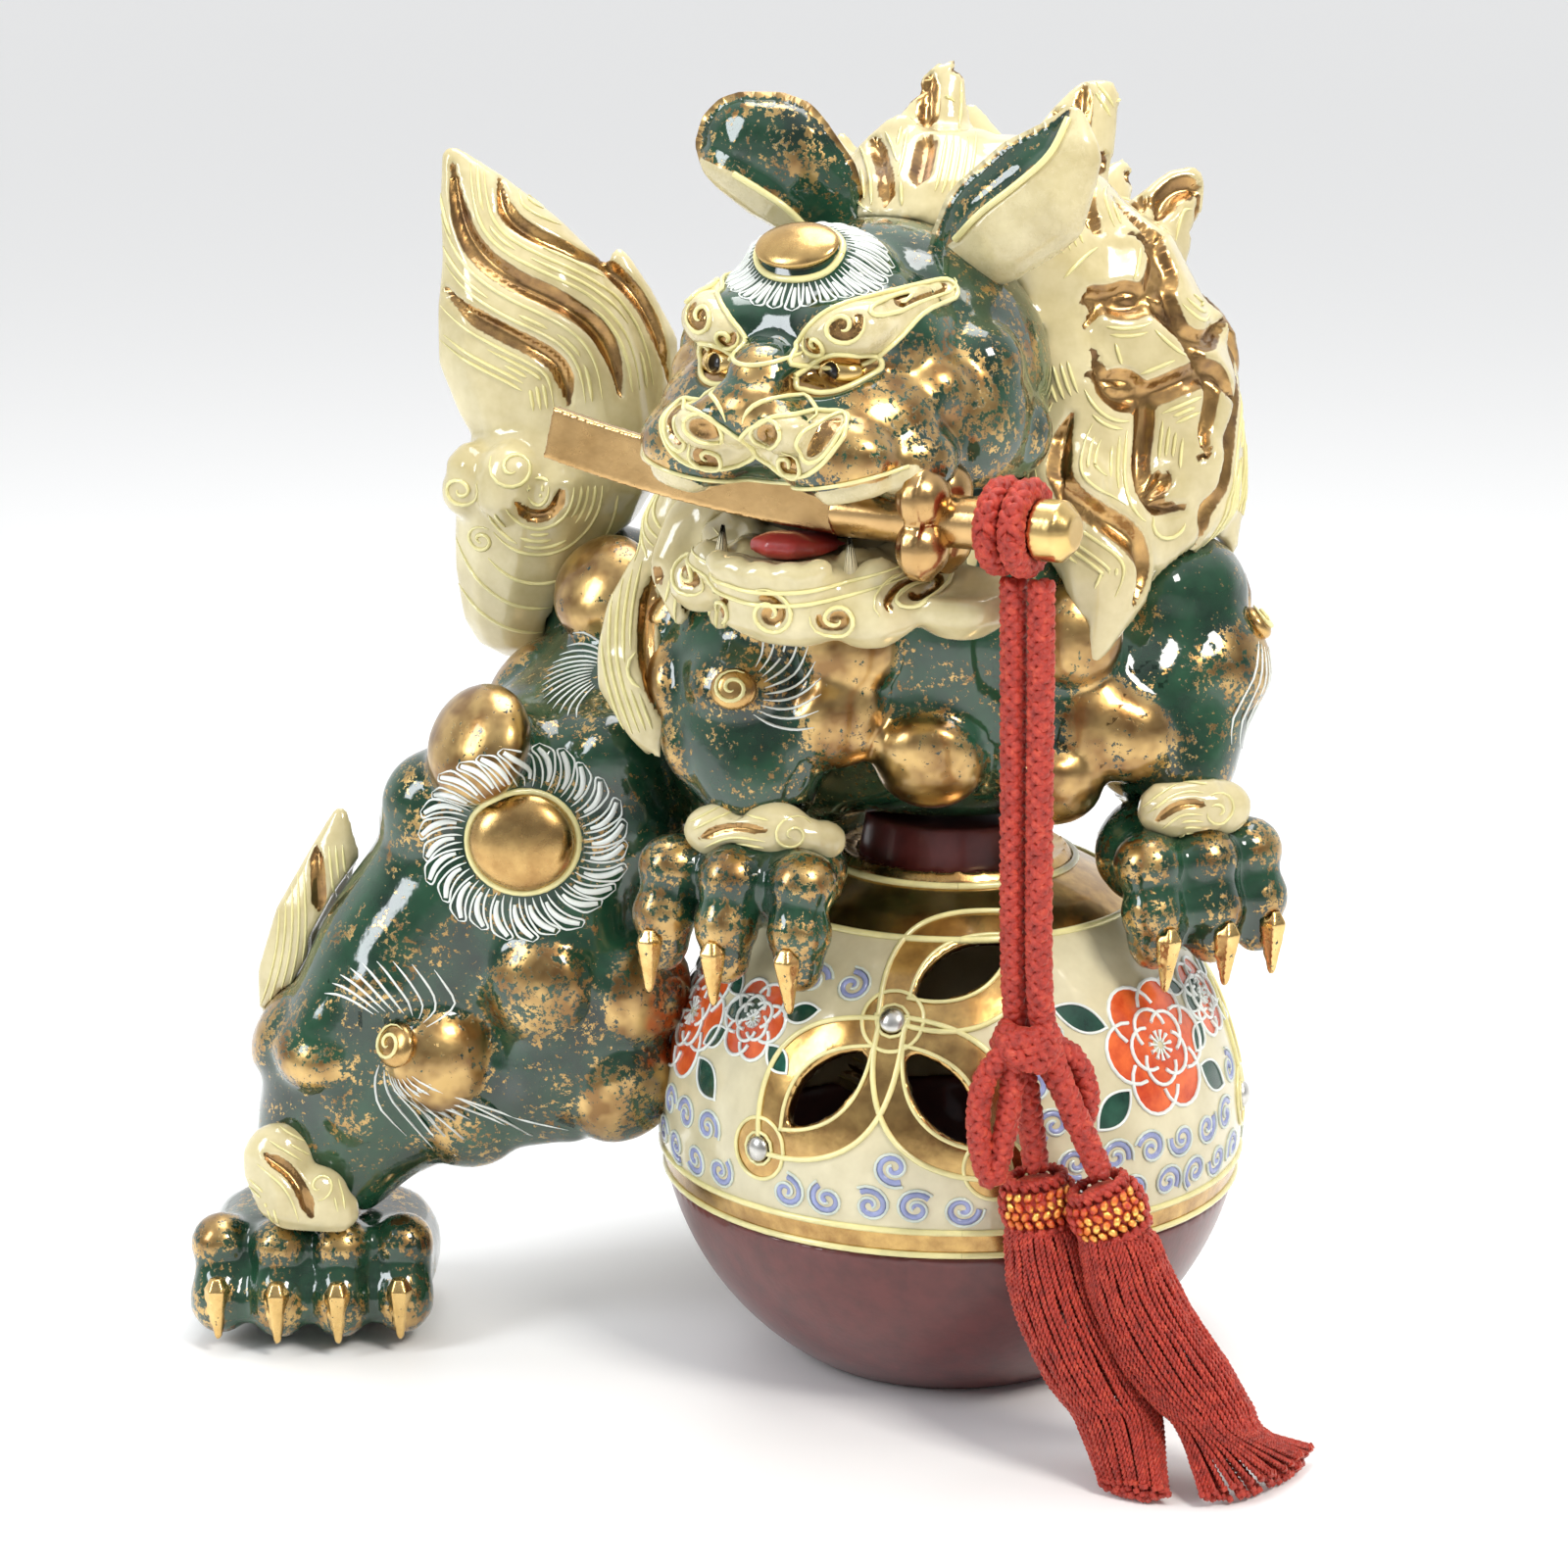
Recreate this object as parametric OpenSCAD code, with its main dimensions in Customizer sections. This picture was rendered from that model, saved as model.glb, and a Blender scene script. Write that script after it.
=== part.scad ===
// Glazed porcelain guardian lion with one forepaw each side of a pierced ball,
// a sword drawn through its mouth and a corded tassel hung from the sword.
// Millimetres, +Z up, the animal's chest faces -Y. The origin is the centre of the ball's foot.

/* [Ball] */
// Widest diameter of the ball
ball_d = 147; // [120:1:180]
// Height of the ball's collar rim above its foot
ball_h = 127; // [105:1:155]
// Height of the widest part of the ball
ball_belly_z = 63; // [52:1:76]
// Diameter of the flat foot under the ball
ball_foot_d = 76; // [62:1:92]
// Wall of the ball's casting
ball_wall = 5; // [4:0.5:7]
// Height at which the red bowl ends and the pierced cover begins
band_z = 47; // [40:1:56]
// Outer diameter of the gold collar round the ball's crown
collar_d = 60; // [50:1:72]
// Length of each pierced leaf opening
leaf_l = 27; // [22:1:32]
// Width of each pierced leaf opening
leaf_w = 11.5; // [9:0.5:14]

/* [Figure] */
// Height of the chest's centre above the ball's collar rim
chest_rise = 50; // [42:1:60]
// Radius of the chest
chest_r = 42; // [36:1:50]
// Height of the head's centre above the chest's centre
neck_rise = 72; // [62:1:84]
// How far the head is turned to the animal's right, in degrees
head_yaw = 29; // [20:1:36]
// Sideways reach of the outstretched hind foot from the ball's axis
stride = 162; // [140:1:192]
// Radius of the haunch
haunch_r = 34; // [29:1:40]
// Wall of the slip cast body sections
body_wall = 5; // [4:0.5:7]
// Diameter of the gold disc on the haunch
disc_d = 28; // [23:1:33]
// Height of the tail's tip above the rump
tail_rise = 140; // [118:1:166]

/* [Sword] */
// Radius of the curve along which the blade is bent
blade_curve_r = 430; // [380:5:520]
// Width of the blade, edge to back
blade_w = 12.5; // [10:0.5:14]
// Thickness of the blade
blade_t = 3; // [2.5:0.25:3.5]
// Length of the blade beyond the middle of the mouth
blade_reach = 61; // [52:1:70]
// Diameter of the grip
grip_d = 12; // [10:0.5:14]
// Diameter of the four-lobed guard
guard_d = 31; // [26:1:34]
// Distance of the guard from the middle of the mouth
guard_at = 41; // [38:1:46]
// Free space between the blade and the mouth
blade_gap = 1; // [0.8:0.1:1.5]

/* [Cord and tassels] */
// Diameter of the braided cord
cord_d = 5.8; // [5:0.1:6.4]
// Diameter of a tassel's gathered head
tassel_head_d = 20; // [17:1:22]

/* [Hidden] */

form_fn = 11;
knob_fn = 7;
inner_fn = 6;
claw_fn = 6;
luting = 0.02;
// Gap that clay laid on the ball keeps from it.
ball_clear = 0.15;

ball_r = ball_d / 2;
ball_top_half = 1.115 * (ball_h - ball_belly_z) - 1;
ball_bottom_half = ball_belly_z / sqrt(1 - pow(ball_foot_d / ball_d, 2));
collar_wall = 3.5;
collar_rise = 3;
collar_taper = 3;
boss_d = 5;
glaze_gold = "goldenrod";
glaze_green = [0.10, 0.22, 0.14];
glaze_cream = [0.82, 0.76, 0.52];
glaze_red = [0.36, 0.10, 0.10];
silk_red = [0.62, 0.08, 0.06];

// Half profile of the ball: its radius at height z, for a ball grown outwards by g.
function ball_radius(z, g = 0) =
    let (half = z > ball_belly_z ? ball_top_half : ball_bottom_half)
    (ball_r + g) * sqrt(max(0, 1 - pow((z - ball_belly_z) / (half + g), 2)));

function degrees_along(l) = l / blade_curve_r * 180 / PI;
function blade_rise(l) = pow(guard_at - l, 2) / (2 * blade_curve_r);

// Places that the body is built from, as [x, y, z, radius].
chest_z = ball_h + chest_rise;
head_at = [-23, -34, chest_z + neck_rise];
chest = [2, -2, chest_z, chest_r];
belly = [-38, 22, chest_z - 6, chest_r];
rump = [-67, 46, chest_z - 21, chest_r - 6];
neck = [-6, -4, chest_z + 36, 38];
hip_right = [-101, 13, 134, haunch_r - 1];
hip_left = [-42, 66, 140, haunch_r - 2];
rump_top = rump[2] + 18;

// The sword lies level across the mouth, turned with the head.
mouth_local = [-6, -33, -23];
face = [-sin(head_yaw), -cos(head_yaw), 0];
across = [cos(head_yaw), -sin(head_yaw), 0];
mouth_at = head_at + mouth_local[0] * across - mouth_local[1] * face + [0, 0, mouth_local[2]];
ferrule_from = 17;
neck_from = guard_at + 14;
neck_l = 12;
pommel_l = 9;
guard_t = 4;
hitch_minor = cord_d / 2;
hitch_major = grip_d / 2 - 1 + hitch_minor + 0.4;
hitch_gap = cord_d + 0.3;
hitch_at = neck_from + neck_l / 2;
hang_at = mouth_at + hitch_at * across - [0, 0, hitch_major];

// ---------------------------------------------------------------- helpers
module ball_blob(p, fn) {
    translate([p[0], p[1], p[2]]) hull() sphere(r = p[3], $fn = fn);
}

module chain(points, shrink = 0, fn = form_fn) {
    for (i = [0 : len(points) - 2]) hull() {
        for (p = [points[i], points[i + 1]]) translate([p[0], p[1], p[2]])
            sphere(r = max(0.6, p[3] - shrink), $fn = shrink > 0 ? inner_fn : fn);
    }
}

module knobs(points, fn = knob_fn) {
    for (p = points) ball_blob(p, fn);
}

module egg(at, radii, turn = [0, 0, 0], fn = form_fn) {
    translate(at) rotate(turn) scale(radii) hull() sphere(r = 1, $fn = fn);
}

// A lock of hair: flattened beads along a path, each [x, y, z, half width], flat across the given turn.
module lock(points, flat = 0.55, turn = 0, fn = knob_fn) {
    for (i = [0 : len(points) - 2]) hull() {
        for (p = [points[i], points[i + 1]])
            translate([p[0], p[1], p[2]]) rotate([0, 0, turn]) scale([1, flat, 1]) sphere(r = p[3], $fn = fn);
    }
}

// Children are placed on the ball at a turn round its axis and a height, with +Z pointing straight out.
module on_ball(turn, z) {
    slope = (ball_radius(z + 0.5) - ball_radius(z - 0.5));
    rotate([0, 0, turn]) translate([0, -ball_radius(z), z]) rotate([90 - atan(-slope), 0, 0]) children();
}

module in_head() {
    translate(head_at) rotate([0, 0, -head_yaw]) children();
}

// The sword's own frame: origin in the middle of the mouth, +X towards the pommel, +Z up.
module in_sword() {
    translate(mouth_at) rotate([0, 0, -head_yaw]) children();
}

// ---------------------------------------------------------------- ball
module ball_skin(grow, from_z, to_z, wall) {
    steps = 16;
    zs = [for (i = [0 : steps]) from_z + (to_z - from_z) * i / steps];
    rotate_extrude($fn = 96) polygon(concat(
        [for (z = zs) [ball_radius(z, grow), z]],
        [for (i = [steps : -1 : 0]) [max(0.01, ball_radius(zs[i], grow) - wall), zs[i]]]
    ));
}

// Leaf openings in threes round each centre boss: [turn, height, lean].
leaves = [[0.5, 113, 33], [-28, 86, 48], [-4, 86, -52]];
leaf_groups = [0, 120, 240];

module leaf(l, w, h) {
    r = (l * l + w * w) / (4 * w);
    translate([0, 0, -h / 2]) linear_extrude(h) intersection() {
        translate([0, r - w / 2]) circle(r = r, $fn = 90);
        translate([0, -(r - w / 2)]) circle(r = r, $fn = 90);
    }
}

function leaf_z(z) = ball_belly_z + (z - 63) * (ball_h - ball_belly_z) / 64;

module ball_bowl() {
    color(glaze_red) union() {
        ball_skin(0, 0, band_z, ball_wall);
        cylinder(r = ball_foot_d / 2 - ball_wall / 2, h = ball_wall, $fn = 96);
    }
}

module ball_cover() {
    color(glaze_cream) difference() {
        ball_skin(0, band_z, collar_foot_z(), ball_wall);
        for (g = leaf_groups, v = leaves)
            rotate([0, 0, g]) on_ball(v[0], leaf_z(v[1])) rotate([0, 0, v[2]]) leaf(leaf_l, leaf_w, 30);
        for (g = leaf_groups, b = bosses)
            rotate([0, 0, g]) on_ball(b[0], leaf_z(b[1])) cylinder(r = boss_d / 2, h = 4, center = true, $fn = 36);
    }
}

// The collar sits where the ball's skin reaches the collar's own radius.
function collar_foot_z() =
    ball_belly_z + ball_top_half * sqrt(1 - pow((collar_d / 2) / ball_r, 2));

module ball_collar() {
    color(glaze_gold) rotate_extrude($fn = 96) polygon([
        [collar_d / 2, collar_foot_z()],
        [collar_d / 2 - 2, collar_foot_z() + collar_rise],
        [collar_d / 2 - collar_taper, collar_foot_z() + collar_rise - 1],
        [collar_d / 2 - collar_taper - collar_wall, collar_foot_z() + collar_rise - 1],
        [collar_d / 2 - ball_wall, collar_foot_z()]
    ]);
}

module crown_form(fn = 72) {
    dome_r = collar_d / 2 - collar_taper - collar_wall;
    translate([0, 0, collar_foot_z()]) cylinder(r1 = dome_r, r2 = dome_r - 2, h = ball_h + 12 - collar_foot_z(), $fn = fn);
}

module ball_crown() {
    color(glaze_red) difference() {
        crown_form();
        translate([0, 0, collar_foot_z() - 1])
            cylinder(r = collar_d / 2 - 6.5 - 2 * collar_wall, h = ball_h + 8 - collar_foot_z(), $fn = 72);
    }
}

bosses = [[-15.5, 102], [-41, 69], [6, 70]];
module ball_bosses() {
    color(glaze_gold) for (g = leaf_groups, b = bosses)
        rotate([0, 0, g]) on_ball(b[0], leaf_z(b[1])) translate([0, 0, -2]) cylinder(r = boss_d / 2, h = 3.2, $fn = 36);
}

// Room for the bosses in whatever lies over them.
module boss_space() {
    for (g = leaf_groups, b = bosses) rotate([0, 0, g]) on_ball(b[0], leaf_z(b[1]))
        translate([0, 0, -2]) cylinder(r = boss_d / 2 + ball_clear, h = 3.2 + ball_clear, $fn = 24);
}

module ball_space() {
    rotate_extrude($fn = 60) polygon(concat(
        [[0, 0]],
        [for (i = [0 : 16]) let (z = (ball_h - 4) * i / 16) [(ball_radius(z, luting) + ball_clear) / cos(180 / 60), z]],
        [[0, ball_h - 4]]
    ));
    translate([0, 0, ball_h - 8]) cylinder(r = collar_d / 2 - 2, h = 9 + luting, $fn = 60);
    translate([0, 0, ball_h - 8]) cylinder(r = collar_d / 2 - 2 - collar_wall, h = 20 + luting, $fn = 60);
}

// ---------------------------------------------------------------- trunk and legs
trunk_knobs = [
    [-44, -31, chest_z + 20, 11], [-56, -24, chest_z + 12, 11], [-27, -36, chest_z + 11, 11],
    [2, -38, chest_z + 12, 12], [26, -34, chest_z + 13, 11], [-30, -37, chest_z - 6, 11],
    [-7, -36, chest_z - 15, 12], [14, -37, chest_z - 6, 11], [32, -29, chest_z - 10, 12],
    [-60, 4, chest_z + 18, 16], [-52, -14, chest_z - 18, 16], [-85, 30, chest_z + 10, 13],
    [-30, 58, chest_z + 12, 14], [-55, 66, chest_z + 4, 14], [4, 34, chest_z + 8, 14],
    [18, 30, chest_z - 16, 14], [30, 16, chest_z + 6, 14], [-8, 48, chest_z - 14, 15],
    [40, -24, chest_z - 2, 12], [42, -18, chest_z - 18, 12], [22, -33, chest_z - 22, 11],
    [-48, 34, chest_z + 28, 13], [-26, 24, chest_z + 30, 14], [-72, 60, chest_z + 12, 12]
];

module trunk_form(shrink = 0) {
    chain([chest, belly, rump], shrink);
    chain([chest, neck], shrink);
    if (shrink == 0) knobs(trunk_knobs);
}

module thigh_right_form(shrink = 0) {
    chain([rump, hip_right, [-92, 2, 92, 27], [-90, 1, 74, 22]], shrink);
    chain([hip_right, [-138, 6, 96, 26]], shrink);
    if (shrink == 0) knobs([
        [-113, -10, 156, 14], [-84, -8, 155, 14], [-76, -8, 136, 14], [-131, 0, 141, 15], [-78, -12, 96, 13],
        [-102, -16, 98, 13], [-82, -10, 70, 14], [-103, -14, 74, 12], [-90, 30, 150, 15], [-112, 34, 140, 15],
        [-120, 30, 112, 14], [-92, 24, 112, 15], [-85, 22, 82, 13], [-110, 24, 92, 13], [-66, 10, 150, 14]
    ]);
}

module shin_right_form(shrink = 0) {
    chain([[-94, 0, 72, 20], [-126, 5, 66, 19], [-stride + 8, 7, 52, 19], [-stride, 8, 34, 19]], shrink);
    chain([[-138, 6, 94, 25], [-150, 6, 74, 24], [-stride + 2, 7, 50, 19]], shrink);
    if (shrink == 0) knobs([
        [-121, -6, 58, 12], [-103, -6, 63, 12], [-157, -8, 84, 12], [-143, -12, 92, 11], [-128, -12, 78, 12],
        [-146, -10, 66, 11], [-164, 8, 78, 13], [-158, 22, 72, 12], [-140, 22, 86, 13], [-130, 20, 66, 12]
    ]);
}

// A foot with a row of toes, each a knuckle over a pad; the toes point to -Y.
module foot_form(w, deep, h, toes, shrink = 0) {
    intersection() {
        union() {
            hull() for (x = [-1, 1], y = [-0.1, 1])
                translate([x * (w / 2 - 14), y * (deep / 2 - 12), h * 0.45])
                    sphere(r = 15 - shrink, $fn = shrink > 0 ? inner_fn : form_fn);
            if (shrink == 0) for (i = [0 : toes - 1]) {
                x = (i - (toes - 1) / 2) * (w - 14) / (toes - 1);
                y = -deep / 2 + 10 + abs(i - (toes - 1) / 2) * 3.2;
                knobs([[x, y + 4, h * 0.72, 8.2], [x, y, h * 0.33, 9.6]]);
                hull() {
                    translate([x, y + 1, h * 0.5]) sphere(r = 8, $fn = knob_fn);
                    translate([x, y + 10, h * 0.6]) sphere(r = 8, $fn = knob_fn);
                }
            }
        }
        translate([-w, -deep, shrink]) cube([2 * w, 2 * deep, 2 * h]);
    }
}

foot_w = 60;
foot_deep = 58;
foot_h = 36;
foot_right_at = [-stride, 8, 0];
foot_left_at = [-22, 82, 0];

module claws_row(w, deep, toes, z, l) {
    for (i = [0 : toes - 1]) {
        x = (i - (toes - 1) / 2) * (w - 14) / (toes - 1);
        y = -deep / 2 + 10 + abs(i - (toes - 1) / 2) * 3.2;
        hull() {
            translate([x, y - 7.4, z]) sphere(r = 3.6, $fn = claw_fn);
            translate([x, y - 8.4, z - l]) sphere(r = 1.1, $fn = claw_fn);
        }
    }
}

module hip_left_form(shrink = 0) {
    chain([rump, hip_left, [-32, 72, 96, 27]], shrink);
    if (shrink == 0) knobs([
        [-30, 94, 146, 14], [-52, 88, 130, 14], [-24, 84, 124, 14], [-40, 92, 108, 13], [-14, 72, 112, 13],
        [-60, 84, 152, 13], [-18, 66, 140, 13]
    ]);
}

module shin_left_form(shrink = 0) {
    chain([[-32, 72, 94, 26], [-26, 80, 62, 19], [-22, 84, 34, 18]], shrink);
    if (shrink == 0) knobs([
        [-38, 90, 84, 12], [-20, 92, 78, 12], [-14, 78, 84, 12], [-34, 92, 60, 11], [-14, 88, 54, 11], [-44, 74, 76, 11]
    ]);
}

wrist_r = [-48, -37, chest_z - 22, 16];
wrist_l = [52, -24, chest_z - 24, 16];
shoulder_r = [-50, -16, chest_z + 8, 23];
shoulder_l = [50, -4, chest_z + 14, 22];
elbow_l = [56, -10, chest_z - 6, 19];
paw_r_at = [-48, -40, ball_h + 1];
paw_l_at = [52, -27, ball_h + 2];

module foreleg_right_form(shrink = 0) {
    chain([shoulder_r, [-52, -30, chest_z - 10, 19], wrist_r, [paw_r_at[0], paw_r_at[1] + 6, paw_r_at[2] + 12, 16]], shrink);
    if (shrink == 0) knobs([[-64, -22, chest_z - 2, 12], [-52, -36, chest_z + 3, 12], [-40, -36, chest_z - 12, 11],
        [-64, -26, chest_z - 17, 11], [-66, -8, chest_z + 10, 13]]);
}

module foreleg_left_form(shrink = 0) {
    chain([shoulder_l, elbow_l, wrist_l, [paw_l_at[0], paw_l_at[1] + 6, paw_l_at[2] + 12, 16]], shrink);
    if (shrink == 0) knobs([[50, -20, chest_z + 22, 11], [62, -12, chest_z + 22, 11], [48, -26, chest_z, 12],
        [64, -16, chest_z + 2, 12], [60, 8, chest_z + 14, 13], [60, 8, chest_z - 10, 13], [40, -32, chest_z - 12, 10]]);
}

// A forepaw laid over the ball: a rounded back, toes with knuckles over the ball's shoulder.
module forepaw_form(at, turn, toes, w) {
    translate(at) rotate([0, 0, turn]) {
        egg([0, 2, 6], [w / 2 - 2, 17, 15]);
        for (i = [0 : toes - 1]) {
            x = (i - (toes - 1) / 2) * (w - 15) / (toes - 1);
            y = -13 + abs(i - (toes - 1) / 2) * 2.4;
            knobs([[x, y, 7, 9], [x * 1.04, y - 3.5, -4, 8.4]]);
            hull() {
                translate([x, y - 2, 2]) sphere(r = 8, $fn = knob_fn);
                translate([x * 1.05, y - 3.5, -12]) sphere(r = 7, $fn = knob_fn);
            }
        }
    }
}

module forepaw_claw_row(at, turn, toes, w) {
    translate(at) rotate([0, 0, turn]) for (i = [0 : toes - 1]) {
        x = (i - (toes - 1) / 2) * (w - 15) / (toes - 1);
        y = -13 + abs(i - (toes - 1) / 2) * 2.4;
        hull() {
            translate([x * 1.05, y - 10, -9]) sphere(r = 3.6, $fn = claw_fn);
            translate([x * 1.08, y - 9.5, -21]) sphere(r = 1.2, $fn = claw_fn);
        }
    }
}

module paw_r_form() { forepaw_form(paw_r_at, -28, 3, 50); }
module paw_l_form() { forepaw_form(paw_l_at, 30, 3, 44); }

module torso() {
    color(glaze_green) difference() {
        trunk_form();
        trunk_form(body_wall);
        thigh_right_form(body_wall);
        hip_left_form(body_wall);
        ball_space();
    }
}

module thigh_right() {
    color(glaze_green) difference() {
        thigh_right_form();
        trunk_form();
        trunk_form(-luting);
        ball_space();
        thigh_right_form(body_wall);
    }
}

module shin_right() {
    color(glaze_green) difference() {
        shin_right_form();
        thigh_right_form();
        shin_right_form(body_wall);
        translate([foot_right_at[0] - foot_w, foot_right_at[1] - foot_deep, -1])
            cube([2 * foot_w, 2 * foot_deep, foot_h * 0.5 + 1]);
        translate(foot_right_at) foot_form(foot_w, foot_deep, foot_h, 4);
        ball_space();
    }
}

module hindfoot_right() {
    color(glaze_green) difference() {
        translate(foot_right_at) foot_form(foot_w, foot_deep, foot_h, 4);
        translate(foot_right_at) foot_form(foot_w, foot_deep, foot_h, 4, body_wall);
        shin_right_form(body_wall);
    }
}

module thigh_left() {
    color(glaze_green) difference() {
        hip_left_form();
        trunk_form();
        thigh_right_form();
        ball_space();
        boss_space();
        hip_left_form(body_wall);
    }
}

module shin_left() {
    color(glaze_green) difference() {
        shin_left_form();
        hip_left_form();
        shin_left_form(body_wall);
        translate([foot_left_at[0] - foot_w, foot_left_at[1] - foot_deep, -1])
            cube([2 * foot_w, 2 * foot_deep, foot_h * 0.5 + 1]);
        translate(foot_left_at) foot_form(foot_w - 6, foot_deep, foot_h, 4);
        ball_space();
    }
}

module hindfoot_left() {
    color(glaze_green) difference() {
        translate(foot_left_at) foot_form(foot_w - 6, foot_deep, foot_h, 4);
        translate(foot_left_at) foot_form(foot_w - 6, foot_deep, foot_h, 4, body_wall);
        shin_left_form(body_wall);
        ball_space();
    }
}

module hindfoot_claws() {
    color(glaze_gold) {
        difference() {
            translate(foot_right_at) claws_row(foot_w, foot_deep, 4, 17, 12);
            translate(foot_right_at) foot_form(foot_w, foot_deep, foot_h, 4);
        }
        difference() {
            translate(foot_left_at) claws_row(foot_w - 6, foot_deep, 4, 17, 12);
            translate(foot_left_at) foot_form(foot_w - 6, foot_deep, foot_h, 4);
            ball_space();
        }
    }
}

module foreleg_right() {
    color(glaze_green) difference() {
        foreleg_right_form();
        trunk_form();
        paw_r_form();
        ball_space();
        foreleg_right_form(body_wall);
    }
}

module foreleg_left() {
    color(glaze_green) difference() {
        foreleg_left_form();
        trunk_form();
        paw_l_form();
        ball_space();
        foreleg_left_form(body_wall);
    }
}

module forepaw_right() {
    color(glaze_green) difference() {
        paw_r_form();
        trunk_form();
        ball_space();
        thigh_right_form();
    }
}

module forepaw_left() {
    color(glaze_green) difference() {
        paw_l_form();
        trunk_form();
        ball_space();
    }
}

module forepaw_claws() {
    color(glaze_gold) difference() {
        union() {
            forepaw_claw_row(paw_r_at, -28, 3, 50);
            forepaw_claw_row(paw_l_at, 30, 3, 44);
        }
        paw_r_form();
        paw_l_form();
        ball_space();
    }
}

// ---------------------------------------------------------------- head
module skull_form(shrink = 0) {
    skull_fn = shrink > 0 ? inner_fn + 1 : form_fn;
    in_head() {
        egg([0, 6, 2], [41 - shrink, 42 - shrink, 37 - shrink], [0, 0, 0], skull_fn);
        egg([0, -31, -2], [35 - shrink, 23 - shrink, 17 - shrink], [0, 0, 0], skull_fn);
        egg([0, -20, 14], [32 - shrink, 25 - shrink, 20 - shrink], [0, 0, 0], skull_fn);
        for (side = [-1, 1]) {
            egg([side * 29, -8, -4], [16 - shrink, 20 - shrink, 19 - shrink], [0, 0, 0], skull_fn);
            chain([[side * 31, -20, -12, 8], [side * 23, -42, -12.5, 7], [0, -51, -12, 7]], shrink);
            if (shrink == 0) {
                egg([side * 13, -38, 19], [13, 9, 8], [0, side * 18, 0], knob_fn);
                egg([side * 17, -47, -8], [15, 10, 10], [0, side * -12, side * 18], knob_fn);
                knobs([[side * 30, -24, 4, 10], [side * 35, -10, 8, 11], [side * 38, 2, -8, 12], [side * 26, -30, -6, 9]]);
            }
        }
        if (shrink == 0) {
            egg([0, -55, 3], [10, 8, 8], [0, 0, 0], knob_fn);
            egg([0, -48, 10], [7, 9, 7], [0, 0, 0], knob_fn);
            egg([0, -22, 31], [18, 15, 9], [35, 0, 0]);
        }
    }
}

// The blade's arc, seen from its side: it leaves the guard level and rises towards the tip.
module blade_arc(from_l, to_l, grow) {
    translate([guard_at, 0, blade_curve_r]) rotate([90, 0, 0]) rotate([0, 0, -90 + degrees_along(from_l - guard_at)])
        rotate_extrude(angle = degrees_along(to_l - from_l), $fn = 480)
            translate([blade_curve_r - blade_w / 2 - grow, -blade_t / 2 - grow])
                square([blade_w + 2 * grow, blade_t + 2 * grow]);
}

// Space that the blade passes through as the sword is drawn along its own curve.
module blade_way(grow) {
    in_sword() blade_arc(-blade_reach - 10, guard_at, grow);
}

module hilt_way(grow) {
    in_sword() rotate([0, 90, 0]) {
        translate([0, 0, ferrule_from - grow]) cylinder(r = grip_d / 2 + grow, h = 80, $fn = 32);
        translate([0, 0, guard_at - 3 - grow]) cylinder(r = guard_d / 2 + grow, h = 16, $fn = 32);
    }
}

// The open mouth, from corner to corner.
module mouth_space() {
    in_head() {
        hull() for (x = [-30, 30]) translate([x, -26, -25]) scale([1, 1.25, 0.8]) sphere(r = 12, $fn = knob_fn);
        hull() for (x = [-17, 17], y = [-62, -30]) translate([x, y, -27]) scale([1, 1, 0.55]) sphere(r = 11, $fn = knob_fn);
    }
    blade_way(blade_gap);
    hilt_way(blade_gap);
}

module head() {
    color(glaze_green) difference() {
        skull_form();
        skull_form(body_wall);
        in_head() translate([-60, -70, -90]) cube([120, 110, 71]);
        mouth_space();
        trunk_form();
    }
}

module jaw_form() {
    in_head() {
        hull() {
            egg([0, -28, -40], [27, 22, 6.5]);
            egg([0, 2, -38], [30, 18, 11]);
        }
        egg([0, -44, -39], [17, 8, 5.5], [0, 0, 0], knob_fn);
        for (side = [-1, 1]) knobs([[side * 22, -34, -38, 6.5], [side * 28, -16, -36, 7.5], [side * 10, -44, -38, 6]]);
    }
}

module lower_jaw() {
    color(glaze_cream) difference() {
        jaw_form();
        skull_form();
        mouth_space();
        trunk_form();
    }
}

module tongue() {
    color("firebrick") difference() {
        in_head() hull() {
            egg([0, -40, -31], [9, 6, 3.4], [0, 0, 0], knob_fn);
            egg([0, -20, -34], [10, 8, 3], [0, 0, 0], knob_fn);
        }
        jaw_form();
        skull_form();
        blade_way(blade_gap);
        trunk_form();
    }
}

// Four fangs: two hang from the upper lip, two stand on the lower.
module teeth_form() {
    in_head() for (side = [-1, 1]) {
        hull() {
            translate([side * 16, -46, -15]) sphere(r = 3, $fn = claw_fn);
            translate([side * 16, -46, -24]) sphere(r = 0.9, $fn = claw_fn);
        }
        hull() {
            translate([side * 21, -40, -35]) sphere(r = 3, $fn = claw_fn);
            translate([side * 21, -40, -27]) sphere(r = 0.9, $fn = claw_fn);
        }
        for (x = [3.5, 10]) egg([side * x, -48, -16], [2.8, 2.2, 4], [0, 0, 0], claw_fn);
    }
}

module teeth() {
    color("ivory") difference() {
        teeth_form();
        skull_form();
        jaw_form();
        blade_way(blade_gap);
        hilt_way(blade_gap);
    }
}

disc_turn = [28, 0, 0];
module brow_disc() {
    color(glaze_gold) difference() {
        in_head() translate([0, -26, 38]) rotate(disc_turn) scale([1, 0.86, 0.34]) hull() sphere(r = 12.5, $fn = form_fn);
        skull_form();
    }
}

module eyes() {
    color(glaze_gold) difference() {
        in_head() for (side = [-1, 1]) egg([side * 14, -44.5, 10], [8, 5, 4.6], [0, side * 8, side * 14], knob_fn);
        skull_form();
        in_head() for (side = [-1, 1]) translate([side * 12.5, -42, 10]) rotate([90, 0, 0]) cylinder(r = 1.9, h = 12, $fn = 16);
    }
}

// An ear is a leaf of clay; its beads are placed from the head's centre.
module ear_form(beads) {
    translate(head_at) lock(beads, 0.6, -head_yaw, form_fn);
}

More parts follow.
